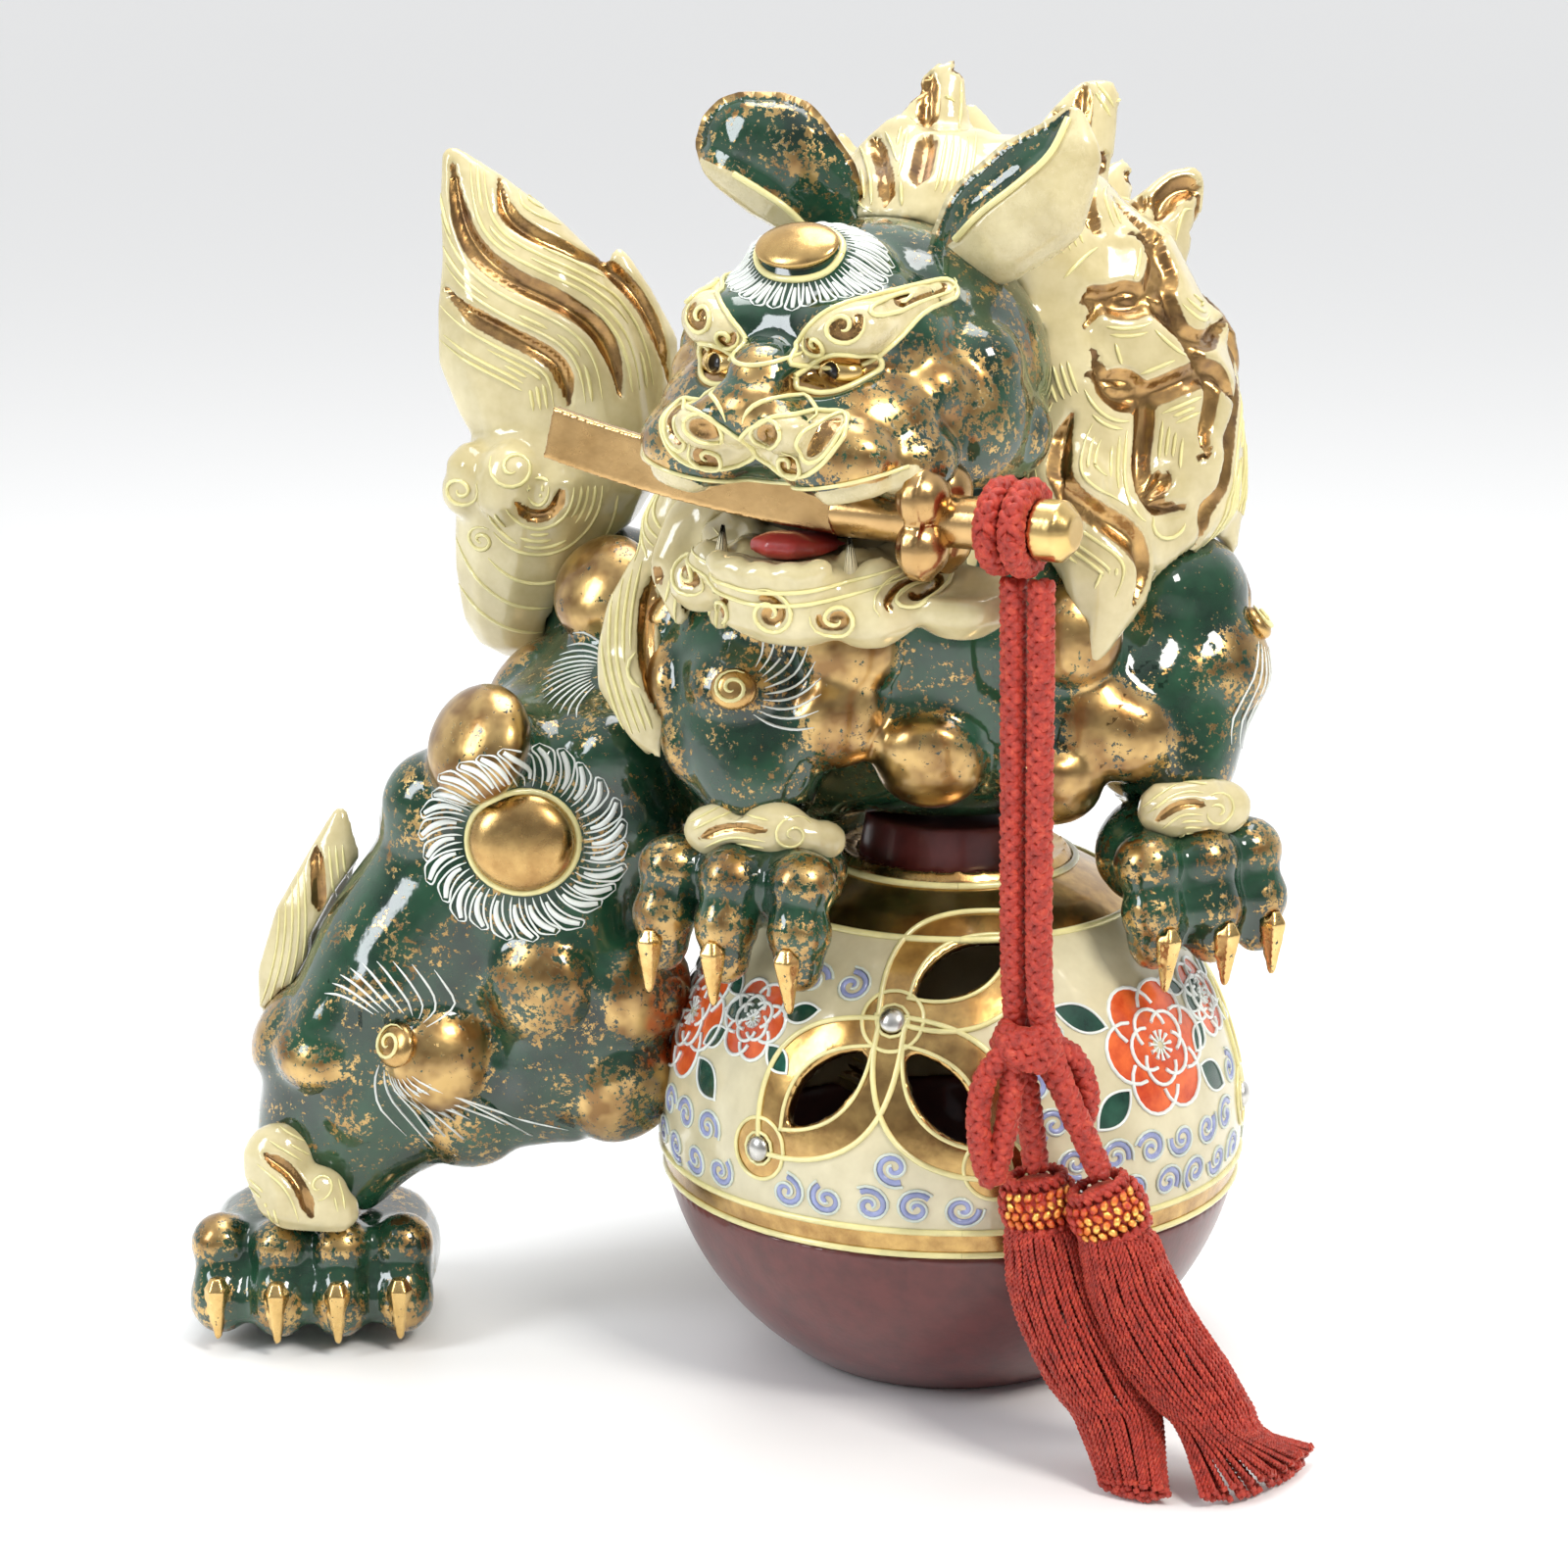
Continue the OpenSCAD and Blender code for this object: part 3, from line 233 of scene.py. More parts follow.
def smoothPath(points, steps=6):
    # A Catmull-Rom curve through the points.
    pts = [Vector(p) for p in points]
    if len(pts) < 3:
        return [pts[0].lerp(pts[-1], i / steps) for i in range(steps + 1)]
    pts = [2 * pts[0] - pts[1]] + pts + [2 * pts[-1] - pts[-2]]
    out = []
    for i in range(1, len(pts) - 2):
        a, b, c, d = pts[i - 1:i + 3]
        for k in range(steps):
            t = k / steps
            out.append(0.5 * (2 * b + (c - a) * t + (2 * a - 5 * b + 4 * c - d) * t * t
                              + (3 * b - a - 3 * c + d) * t ** 3))
    out.append(pts[-2])
    return out


def lineWork(name, lines, sides=1):
    # Rounded lines of clay or thread: each is (points, radius in mm, or a radius for each point).
    curve = bpy.data.curves.new(name, "CURVE")
    curve.dimensions = "3D"
    curve.bevel_depth = mm
    curve.bevel_resolution = sides
    curve.use_fill_caps = True
    for points, radius in lines:
        if len(points) < 2:
            continue
        spline = curve.splines.new("POLY")
        spline.points.add(len(points) - 1)
        for i, p in enumerate(points):
            spline.points[i].co = (*p, 1)
            spline.points[i].radius = radius[i] if isinstance(radius, (list, tuple)) else radius
    holder = bpy.data.objects.new(name, curve)
    bpy.context.scene.collection.objects.link(holder)
    mesh = bpy.data.meshes.new_from_object(holder.evaluated_get(bpy.context.evaluated_depsgraph_get()))
    bpy.data.objects.remove(holder)
    bpy.data.curves.remove(curve)
    for face in mesh.polygons:
        face.use_smooth = True
    return newObject(name, mesh)


def slipLines(name, lines, look="line", sides=1):
    finishPiece(lineWork(name, lines, sides), "statue", glaze[look], ())


def taper(count, radius, tail=0.25):
    # Radii that thin out towards the ends of a line.
    out = []
    for i in range(count):
        t = i / max(1, count - 1)
        edge = min(t, 1 - t)
        out.append(radius * (tail + (1 - tail) * min(1, edge * 5)))
    return out


def joined(name, objs):
    # One mesh of several, with their materials kept.
    bpy.ops.object.select_all(action="DESELECT")
    for o in objs:
        o.select_set(True)
    bpy.context.view_layer.objects.active = objs[0]
    bpy.ops.object.join()
    objs[0].name = name
    return objs[0]


def coordsOf(obj):
    out = np.empty(len(obj.data.vertices) * 3)
    obj.data.vertices.foreach_get("co", out)
    return out.reshape(-1, 3)


def normalsOf(obj):
    out = np.empty(len(obj.data.vertices) * 3)
    obj.data.vertices.foreach_get("normal", out)
    return out.reshape(-1, 3)


def setAttribute(obj, name, values):
    attribute = obj.data.attributes.get(name) or obj.data.attributes.new(name, "FLOAT", "POINT")
    attribute.data.foreach_set("value", np.asarray(values, dtype=np.float32))


def distanceTo(coords, path):
    # Distance of every vertex from a path, and how far along the path its nearest point is.
    best = np.full(len(coords), 1e9)
    along = np.zeros(len(coords))
    total = len(path) - 1
    low = np.min([tuple(p) for p in path], axis=0) - 0.02
    high = np.max([tuple(p) for p in path], axis=0) + 0.02
    near = np.where(np.all((coords > low) & (coords < high), axis=1))[0]
    c = coords[near]
    b = np.full(len(c), 1e9)
    al = np.zeros(len(c))
    for i in range(total):
        a = np.array(path[i])
        d = np.array(path[i + 1]) - a
        t = np.clip((c - a) @ d / max(1e-12, d @ d), 0, 1)
        away = np.linalg.norm(c - a - t[:, None] * d, axis=1)
        closer = away < b
        b[closer] = away[closer]
        al[closer] = (i + t[closer]) / total
    best[near] = b
    along[near] = al
    return best, along


def convexity(obj, rounds=14):
    # How far each vertex stands out of its smoothed surroundings, in mm.
    bm = bmesh.new()
    bm.from_mesh(obj.data)
    before = np.array([v.co[:] for v in bm.verts])
    normals = np.array([v.normal[:] for v in bm.verts])
    for _ in range(rounds):
        bmesh.ops.smooth_vert(bm, verts=bm.verts, factor=0.9, use_axis_x=True, use_axis_y=True, use_axis_z=True)
    after = np.array([v.co[:] for v in bm.verts])
    bm.free()
    return ((before - after) * normals).sum(axis=1) / mm


def splitByNode(skin, names, material):
    # The skin is parted into one closed piece for each CAD node, where that node is nearest.
    mesh = skin.data
    trees = []
    for name in names:
        part = bmesh.new()
        nodeCopy(part, name)
        trees.append(BVHTree.FromBMesh(part))
        part.free()
    owner = []
    for p in mesh.polygons:
        away = [t.find_nearest(p.center)[3] for t in trees]
        owner.append(away.index(min(away)))
    normals = normalsOf(skin)
    for k, name in enumerate(names):
        bm = bmesh.new()
        bm.from_mesh(mesh)
        keep = bm.verts.layers.int.new("was")
        for v in bm.verts:
            v[keep] = v.index
        bm.faces.ensure_lookup_table()
        bmesh.ops.delete(bm, geom=[f for f in bm.faces if owner[f.index] != k], context="FACES")
        if not bm.faces:
            bm.free()
            print("no skin nearest to", name)
            continue
        skinFaces = len(bm.faces)
        edges = [e for e in bm.edges if len(e.link_faces) == 1]
        caps = bmesh.ops.holes_fill(bm, edges=edges, sides=0)["faces"]
        bmesh.ops.triangulate(bm, faces=caps)
        bm.faces.ensure_lookup_table()
        piece = bpy.data.meshes.new(name + "_skin")
        bm.to_mesh(piece)
        was = [v[keep] for v in bm.verts]
        flat = [f.index >= skinFaces for f in bm.faces]
        bm.free()
        split = []
        for face in piece.polygons:
            face.use_smooth = True
            for index in face.vertices:
                split.append(face.normal[:] if flat[face.index] else normals[was[index]])
        piece.normals_split_custom_set(split)
        obj = newObject(name + "_skin", piece)
        finishPiece(obj, "statue", material, [name])
    bpy.data.objects.remove(skin)


print("glazes")


def greenGlaze():
    material, tree, shader = newMaterial("greenGlaze", (0.02, 0.07, 0.035), 0.1, 0.0, Coat_Weight=0.6,
                                         Coat_Roughness=0.04)
    coords = addNode(tree, "TexCoord").outputs["Object"]
    pool = ramp(tree, objectNoise(tree, 60, 3, 0.6, coords),
                [(0.3, (0.004, 0.018, 0.010)), (0.7, (0.018, 0.075, 0.036))])
    gold = addNode(tree, "Attribute", attribute_name="gold").outputs["Fac"]
    fine = objectNoise(tree, 620, 5, 0.72, coords)
    patch = objectNoise(tree, 95, 3, 0.6, coords)
    # Leaf covers the high places and breaks into flecks at its edge.
    cover = math2(tree, "ADD", math2(tree, "MULTIPLY", fine, 1.9), math2(tree, "MULTIPLY", patch, 0.9))
    cover = math2(tree, "ADD", cover, math2(tree, "MULTIPLY", gold, 1.05))
    flecks = ramp(tree, math2(tree, "SUBTRACT", cover, 1.72), [(0.0, 0.0), (0.05, 1.0)])
    tone = ramp(tree, objectNoise(tree, 140, 2, 0.5, coords),
                [(0.35, (0.26, 0.14, 0.045)), (0.65, (0.60, 0.40, 0.15))])
    tree.links.new(mixColor(tree, flecks, pool, tone), shader.inputs["Base Color"])
    tree.links.new(flecks, shader.inputs["Metallic"])
    tree.links.new(ramp(tree, flecks, [(0.0, 0.09), (1.0, 0.3)]), shader.inputs["Roughness"])
    addBump(tree, shader, math2(tree, "ADD", math2(tree, "MULTIPLY", flecks, 0.3),
                                objectNoise(tree, 240, 2, 0.5, coords)), 0.25, 0.0006)
    return material


def creamGlaze():
    material, tree, shader = newMaterial("creamGlaze", (0.7, 0.63, 0.38), 0.14, 0.0, Coat_Weight=0.5,
                                         Coat_Roughness=0.05)
    coords = addNode(tree, "TexCoord").outputs["Object"]
    ground = ramp(tree, objectNoise(tree, 70, 4, 0.6, coords),
                  [(0.3, (0.50, 0.42, 0.21)), (0.7, (0.70, 0.62, 0.37))])
    groove = addNode(tree, "Attribute", attribute_name="groove").outputs["Fac"]
    streak = objectNoise(tree, 260, 3, 0.6, coords)
    edge = ramp(tree, math2(tree, "ADD", groove, math2(tree, "MULTIPLY", math2(tree, "SUBTRACT", streak, 0.5),
                                                       0.35)), [(0.35, 0.0), (0.55, 1.0)])
    lustre = ramp(tree, objectNoise(tree, 120, 3, 0.6, coords),
                  [(0.3, (0.17, 0.085, 0.03)), (0.7, (0.55, 0.33, 0.11))])
    tree.links.new(mixColor(tree, edge, ground, lustre), shader.inputs["Base Color"])
    tree.links.new(math2(tree, "MULTIPLY", edge, 0.92), shader.inputs["Metallic"])
    tree.links.new(ramp(tree, edge, [(0.0, 0.14), (1.0, 0.27)]), shader.inputs["Roughness"])
    addBump(tree, shader, objectNoise(tree, 300, 2, 0.5, coords), 0.12, 0.0004)
    return material


def slipGlaze(name, color, spread=0.12, roughness=0.18):
    material, tree, shader = newMaterial(name, color, roughness, 0.0, Coat_Weight=0.4, Coat_Roughness=0.06)
    dark = tuple(c * (1 - spread * 2) for c in color)
    tree.links.new(ramp(tree, objectNoise(tree, 180, 3), [(0.3, dark), (0.62, color)]),
                   shader.inputs["Base Color"])
    addBump(tree, shader, objectNoise(tree, 700, 2), 0.15, 0.0003)
    return material


def lustre(name, dark, light, roughness=0.26, scale=90, worn=None):
    material, tree, shader = newMaterial(name, light, roughness, 1.0, Coat_Weight=0.15, Coat_Roughness=0.08)
    coords = addNode(tree, "TexCoord").outputs["Object"]
    cloud = objectNoise(tree, scale, 4, 0.62, coords)
    color = ramp(tree, cloud, [(0.28, dark), (0.7, light)])
    if worn:
        patches = ramp(tree, objectNoise(tree, 500, 4, 0.7, coords), [(0.62, 0.0), (0.66, 1.0)])
        color = mixColor(tree, patches, color, worn)
        tree.links.new(math2(tree, "SUBTRACT", 1.0, patches), shader.inputs["Metallic"])
    tree.links.new(color, shader.inputs["Base Color"])
    tree.links.new(ramp(tree, objectNoise(tree, 210, 3, 0.6, coords),
                        [(0.3, roughness * 0.75), (0.75, roughness * 1.35)]), shader.inputs["Roughness"])
    addBump(tree, shader, objectNoise(tree, 420, 3, 0.6, coords), 0.12, 0.0004)
    return material


def headGlaze():
    # Green under gold leaf, with cream panels, brown gold in their hollows, and painted shade, near black, under
    # the roof of the mouth.
    material = greenGlaze()
    material.name = "headGlaze"
    tree = material.node_tree
    shader = tree.nodes["Principled BSDF"]
    coords = addNode(tree, "TexCoord").outputs["Object"]
    attribute = {}
    for key in ("cream", "groove", "dark"):
        attribute[key] = ramp(tree, addNode(tree, "Attribute", attribute_name=key).outputs["Fac"],
                              [(0.42, 0.0), (0.58, 1.0)])
    ground = ramp(tree, objectNoise(tree, 90, 4, 0.6, coords),
                  [(0.3, (0.50, 0.42, 0.21)), (0.7, (0.70, 0.62, 0.37))])
    brown = ramp(tree, objectNoise(tree, 150, 3, 0.6, coords),
                 [(0.3, (0.17, 0.085, 0.03)), (0.7, (0.55, 0.33, 0.11))])
    color = shader.inputs["Base Color"].links[0].from_socket
    metal = shader.inputs["Metallic"].links[0].from_socket
    # The dark attribute paints shade, near black, where the mouth's roof faces down.
    for key, tone, shine in (("cream", ground, 0.0), ("groove", brown, 0.92),
                             ("dark", (0.008, 0.006, 0.006), 0.0)):
        color = mixColor(tree, attribute[key], color, tone)
        metal = math2(tree, "ADD", math2(tree, "MULTIPLY", metal, math2(tree, "SUBTRACT", 1.0, attribute[key])),
                      math2(tree, "MULTIPLY", attribute[key], shine))
    tree.links.new(color, shader.inputs["Base Color"])
    tree.links.new(metal, shader.inputs["Metallic"])
    return material


glaze = {
    "green": greenGlaze(),
    "head": headGlaze(),
    "cream": creamGlaze(),
    "line": slipGlaze("raisedLine", (0.83, 0.76, 0.36), 0.08),
    "white": slipGlaze("whiteSlip", (0.80, 0.84, 0.80), 0.05),
    "paleLine": slipGlaze("paleLine", (0.62, 0.68, 0.60), 0.1),
    "maroon": slipGlaze("maroonGlaze", (0.125, 0.022, 0.02), 0.16, 0.36),
    "gold": lustre("goldLustre", (0.36, 0.2, 0.07), (0.66, 0.44, 0.17)),
    "brightGold": lustre("brightGold", (0.62, 0.40, 0.13), (0.86, 0.63, 0.27), 0.22, 60),
    "claw": lustre("clawGold", (0.55, 0.34, 0.11), (0.85, 0.6, 0.25), 0.25, 150, (0.03, 0.05, 0.03)),
    "sword": lustre("swordGold", (0.40, 0.24, 0.09), (0.66, 0.43, 0.19), 0.24, 45),
    "tongue": slipGlaze("tongueRed", (0.42, 0.035, 0.03), 0.12, 0.4),
    # A near-black glaze for painted shade: the throat, and the discs deep in the pupils' holes.
    "mouth": slipGlaze("mouthBlack", (0.008, 0.006, 0.006), 0.1, 0.3),
    "tooth": slipGlaze("toothGlaze", (0.74, 0.66, 0.44), 0.08),
    "lavender": slipGlaze("lavenderBlue", (0.30, 0.34, 0.58), 0.12),
    "boss": lustre("bossSilver", (0.42, 0.41, 0.38), (0.72, 0.71, 0.67), 0.3, 120),
}

print("cord, knot and tassels")

cordPlan = {
    "hang": (9.105, -89.527, 217.7),
    "front": [(6, 1.6, -4), (6.3, 1.6, -30), (6.4, 1.6, -55), (6.6, 1.6, -80), (7, 1.2, -96), (8, 0.4, -106),
              (11, 0.4, -117), (15, 0.6, -127), (19, 0.8, -136), (22, 1, -143)],
    "back": [(0, -1.6, -4), (0.4, -1.6, -30), (0.7, -1.6, -55), (1, -1.6, -80), (1.4, -2, -96),
             (2.2, -3.4, -106),
             (3.6, -4.6, -117), (5.2, -5.6, -127), (6.6, -6.4, -137), (7.4, -6.6, -144)],
    "knot": (4.6, -1, -112),
    "knotRadii": (8.5, 9, 7),
    "bows": [[(0, 2, -112), (-5.5, 3, -120), (-6.5, 3.5, -132), (-3.5, 3.5, -143), (-0.5, 3, -132),
              (1, 2, -120)],
             [(9, -2, -111), (16, -4, -117), (19, -5, -126), (17, -5, -133), (14, -5, -126), (10, -4, -118)]],
    "diameter": 5.8,
    "pitch": 4.2,
    "heads": {"tassel_head_front": ((23.5, 1.2, -151), 10), "tassel_head_back": ((8.2, -6.8, -152), 10)},
    "skirts": {"tassel_skirt_front": ([(26, 1.5, -158, 9.5), (31, 3, -173, 12), (40, 6, -189, 14),
                                       (50, 10, -202, 11)],
                                      [(44, 20), (57, 15), (68, 3), (73, -8)]),
               "tassel_skirt_back": ([(9.5, -6.6, -159, 9.5), (13, -4.5, -174, 12), (20, 0, -190, 13),
                                      (27, 5, -202, 11)],
                                     [(22, 11), (30, 16), (38, 18)])},
    "threads": 46,
}


def onCord(step):
    # A step right, towards the viewer and down from where the cord hangs.
    x, y, z = cordPlan["hang"]
    return v3(x + step[0], y - step[1], z + step[2])


def frameAlong(path):
    # Side and up vectors that turn as little as they can along a path.
    frames = []
    side = None
    for i, p in enumerate(path):
        along = (path[min(i + 1, len(path) - 1)] - path[max(i - 1, 0)]).normalized()
        if side is None:
            side = along.cross(Vector((0, 1, 0.1))).normalized()
        side = (side - along * side.dot(along)).normalized()
        frames.append((p, along, side, along.cross(side)))
    return frames


def lengthAlong(path):
    out = [0.0]
    for a, b in zip(path, path[1:]):
        out.append(out[-1] + (b - a).length)
    return out


def evenPath(points, gap):
    # The smooth curve through the points, in even steps of this many mm.
    path = smoothPath(points, 12)
    marks = lengthAlong(path)
    count = max(2, round(marks[-1] / mm / gap))
    out = []
    k = 0
    for i in range(count + 1):
        want = marks[-1] * i / count
        while k < len(marks) - 2 and marks[k + 1] < want:
            k += 1
        part = (want - marks[k]) / max(1e-9, marks[k + 1] - marks[k])
        out.append(path[k].lerp(path[k + 1], min(1, part)))
    return out


def braidStrands(points, diameter, pitch):
    # Eight yarns plaited round a square core: four go round one way and four the other.
    path = evenPath(points, 0.55)
    marks = [m / mm for m in lengthAlong(path)]
    frames = frameAlong(path)
    lines = []
    half = diameter / 2
    for hand in (1, -1):
        for k in range(4):
            strand = []
            for s, (p, along, side, up) in zip(marks, frames):
                turn = hand * (2 * math.pi * s / (pitch * 2.6)) + k * math.pi / 2 + (math.pi / 4 if hand < 0
                                                                                     else 0)
                weave = math.sin(2 * math.pi * s / pitch * 1.54 + k * math.pi + (math.pi if hand < 0 else 0))
                squareness = 1 + 0.10 * math.cos(4 * turn)
                out = (half - 1.05 + 0.38 * weave) * squareness
                strand.append(p + (side * math.cos(turn) + up * math.sin(turn)) * out * mm)
            lines.append((strand, 1.12))
    lines.append((path, half * 0.62))
    return lines


def cordYarn():
    material, tree, shader = newMaterial("redCordYarn", (0.42, 0.03, 0.015), 0.5, 0.0, Sheen_Weight=0.35,
                                         Sheen_Roughness=0.4)
    shader.inputs["Sheen Tint"].default_value = (1.0, 0.42, 0.28, 1)
    coords = addNode(tree, "TexCoord").outputs["Object"]
    color = ramp(tree, objectNoise(tree, 420, 4, 0.65, coords),
                 [(0.25, (0.20, 0.010, 0.006)), (0.55, (0.46, 0.034, 0.018)), (0.8, (0.66, 0.10, 0.045))])
    tree.links.new(color, shader.inputs["Base Color"])
    tree.links.new(ramp(tree, objectNoise(tree, 1500, 2, 0.5, coords), [(0.35, 0.32), (0.65, 0.6)]),
                   shader.inputs["Roughness"])
    addBump(tree, shader, objectNoise(tree, 2200, 3, 0.7, coords), 0.5, 0.0005)
    return material


glaze["cord"] = cordYarn()

strandPieces = {}
for name, key in (("cord_strand_front", "front"), ("cord_strand_back", "back")):
    points = [onCord(p) for p in cordPlan[key]]
    piece = lineWork(name + "_braid", braidStrands(points, cordPlan["diameter"], cordPlan["pitch"]), 1)
    finishPiece(piece, "cord", glaze["cord"], [name])
    strandPieces[key] = (piece, smoothPath(points, 4))

knotLines = []
for bow in cordPlan["bows"]:
    loop = [onCord(p) for p in bow]
    knotLines += braidStrands(loop + [loop[0]], cordPlan["diameter"] * 0.92, cordPlan["pitch"])
# The wrap of the knot: turns that climb and cross round an egg.
wrap = []
kx, ky, kz = cordPlan["knotRadii"]
for i in range(29):
    turn = i / 28 * 2 * math.pi * 2.5
    rise = math.sin(turn * 0.8 + 0.6) * 0.62
    ring = math.sqrt(max(0.1, 1 - rise * rise))
    wrap.append(onCord((cordPlan["knot"][0] + (kx - 2.7) * ring * math.cos(turn),
                        cordPlan["knot"][1] + (ky - 2.7) * ring * math.sin(turn),
                        cordPlan["knot"][2] + (kz - 1.8) * rise)))
knotLines += braidStrands(wrap, cordPlan["diameter"] * 0.92, cordPlan["pitch"])
knotPiece = lineWork("cord_knot_braid", knotLines, 1)
finishPiece(knotPiece, "cord", glaze["cord"], ["cord_knot"])


def pathAt(path, t):
    # A place a fraction of the way along a list of points.
    place = min(max(t, 0.0), 1.0) * (len(path) - 1)
    i = min(int(place), len(path) - 2)
    return path[i].lerp(path[i + 1], place - i)


def twisted(path, plyRadius, pitch, turn=0.0):
    # Two plies twisted round each other along a path.
    marks = [m / mm for m in lengthAlong(path)]
    frames = frameAlong(path)
    lines = []
    for ply in (0, math.pi):
        line = []
        for s, (p, along, side, up) in zip(marks, frames):
            angle = 2 * math.pi * s / pitch + ply + turn
            line.append(p + (side * math.cos(angle) + up * math.sin(angle)) * plyRadius * 0.88 * mm)
        lines.append((line, plyRadius))
    return lines


def skirtThreads(centers, hem, start, count, rng):
    middle = smoothPath([onCord(c[:3]) for c in centers], 8)
    widths = smoothPath([(c[3], 0, 0) for c in centers], 8)
    hemLine = smoothPath([onCord((h[0], h[1], -cordPlan["hang"][2])) for h in hem], 8)
    lines = []
    for layer, share in ((1.0, 1.0), (0.58, 0.4)):
        for i in range(round(count * share)):
            a = 2 * math.pi * (i + 0.5 * layer) / round(count * share)
            way = []
            near = math.cos(a) * layer
            high = math.sin(a) * layer
            top = onCord(start) + v3(near * 6.2, -high * 5.2, 0)
            way.append(top + v3(0, 0, 1.0))
            for k in range(len(middle)):
                if k % 3:
                    continue
                t = k / (len(middle) - 1)
                r = widths[k].x * (0.92 - 0.04 * t)
                flat = 1 - 0.35 * t
                wave = rng.uniform(-0.35, 0.35)
                way.append(middle[k] + v3(near * r + wave, -high * r * 0.86, high * r * 0.42 * t * flat))
            end = pathAt(hemLine, 0.5 + 0.46 * near + rng.uniform(-0.015, 0.015))
            reach = 1.0 + 0.05 * high + rng.uniform(-0.05, 0.05)
            inner = middle[-1]
            end = inner + (end - inner) * reach
            end.z = (1.0 + 3.6 * max(0.0, 0.5 + 0.5 * high) * layer + rng.uniform(0, 0.8)) * mm
            way.append(end)
            path = evenPath(way, 0.62)
            for p in path:
                p.z = max(p.z, 0.95 * mm)
            lines += twisted(path, 0.42, 2.5, rng.uniform(0, 3))
            # The cut end curls up in a little ball.
            lines.append(([path[-1] - (path[-1] - path[-3]) * 0.4, path[-1] + (path[-1] - path[-3]) * 0.5],
                          [1.05, 0.8]))
    return lines


def knittedHead(name, center, radius, lean):
    # Rows of knitted stitches round a barrel, bound at the top and the bottom.
    bm = bmesh.new()
    tilt3 = Matrix.Rotation(math.radians(lean), 4, "Y")
    place = Matrix.Translation(onCord(center)) @ tilt3
    addBall(bm, onCord(center), (radius * 0.86, radius * 0.72, radius * 0.62), tilt3, 3)
    rows = ((-5.4, 0.86), (-3.4, 0.95), (-1.2, 1.0), (1.0, 0.99), (3.2, 0.92), (5.2, 0.78))
    for row, (z, wide) in enumerate(rows):
        count = round(22 * wide)
        for i in range(count):
            a = 2 * math.pi * (i + 0.5 * (row % 2)) / count
            out = place @ Matrix.Translation(v3(math.cos(a) * radius * wide * 0.90,
                                                math.sin(a) * radius * wide * 0.76, z)) @ Matrix.Rotation(a, 4,
                                                                                                          "Z")
            turn = Matrix.Rotation(0.6 if row % 2 else -0.6, 4, "X")
            before = len(bm.faces)
            bmesh.ops.create_icosphere(bm, subdivisions=1, radius=mm,
                                       matrix=out @ turn @ Matrix.Diagonal((0.85, 1.0, 1.45, 1)))
            bm.faces.ensure_lookup_table()
            # Stitches of gilt thread on the side that faces out.
            gilt = 3.68 < a < 2 * math.pi - 0.5
            for f in bm.faces[before:]:
                f.material_index = 1 if gilt and 0 < row < 5 else 0
    piece = meshFromBmesh(name + "_knit", bm)
    rims = []
    for z, wide in ((-6.3, 0.82), (6.1, 0.70)):
        ring = [place @ v3(math.cos(i / 40 * 2 * math.pi) * radius * wide * 0.92,
                           math.sin(i / 40 * 2 * math.pi) * radius * wide * 0.78, z) for i in range(41)]
        rims += twisted(ring, 0.75, 2.6)
    rim = lineWork("rim", rims, 1)
    for one in (glaze["cord"], glaze["gilt"]):
        piece.data.materials.append(one)
    rim.data.materials.append(glaze["cord"])
    return joined(name + "_knit", [piece, rim])


def giltThread():
    material, tree, shader = newMaterial("giltThread", (0.75, 0.25, 0.05), 0.3, 0.5)
    coords = addNode(tree, "TexCoord").outputs["Object"]
    color = ramp(tree, objectNoise(tree, 330, 2, 0.5, coords),
                 [(0.36, (0.50, 0.04, 0.015)), (0.5, (0.78, 0.20, 0.03)), (0.64, (0.95, 0.62, 0.16))])
    tree.links.new(color, shader.inputs["Base Color"])
    tree.links.new(ramp(tree, objectNoise(tree, 330, 2, 0.5, coords), [(0.45, 0.0), (0.62, 0.9)]),
                   shader.inputs["Metallic"])
    addBump(tree, shader, objectNoise(tree, 1800, 3, 0.7, coords), 0.4, 0.0004)
    return material


glaze["gilt"] = giltThread()
rng = random.Random(11)
heads = {}
for name, (center, radius) in cordPlan["heads"].items():
    lean = -24 if name.endswith("front") else -8
    head = knittedHead(name, center, radius, lean)
    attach(head, "cord")
    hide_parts(name)
    heads[name] = head
skirts = {}
for name, (centers, hem) in cordPlan["skirts"].items():
    headAt = cordPlan["heads"][name.replace("skirt", "head")][0]
    start = (headAt[0] + 1.0, headAt[1], headAt[2] - 5.5)
    threads = skirtThreads(centers, hem, start, cordPlan["threads"], rng)
    skirts[name] = finishPiece(lineWork(name + "_threads", threads, 0), "cord", glaze["cord"], [name])

# The hitch: two braided turns round the neck of the grip.
swordPlan = {"along": (0.87462, -0.48481, 0), "across": (-0.48481, -0.87462, 0), "guard": (-8.4, -79.8, 226)}
hitchPlan = {"center": (9.105, -89.527, 226.0), "radius": 8.3, "gap": 6.1}
axis = Vector(swordPlan["along"]).normalized()
across = axis.cross(Vector((0, 0, 1))).normalized()
rings = []
for side in (-0.5, 0.5):
    ring = []
    for i in range(37):
        a = 2 * math.pi * i / 36
        ring.append(v3(*hitchPlan["center"]) + (axis * (side * hitchPlan["gap"])
                                                + across * math.cos(a) * hitchPlan["radius"]
                                                + Vector((0, 0, 1)) * math.sin(a) * hitchPlan["radius"]) * mm)
    rings += braidStrands(ring, cordPlan["diameter"], cordPlan["pitch"])
finishPiece(lineWork("cord_hitch_braid", rings, 1), "hitch", glaze["cord"], ["cord_hitch"])

for key, extras in (("front", [knotPiece, heads["tassel_head_front"], skirts["tassel_skirt_front"]]),
                    ("back", [heads["tassel_head_back"], skirts["tassel_skirt_back"]])):
    piece, path = strandPieces[key]

print("green body")

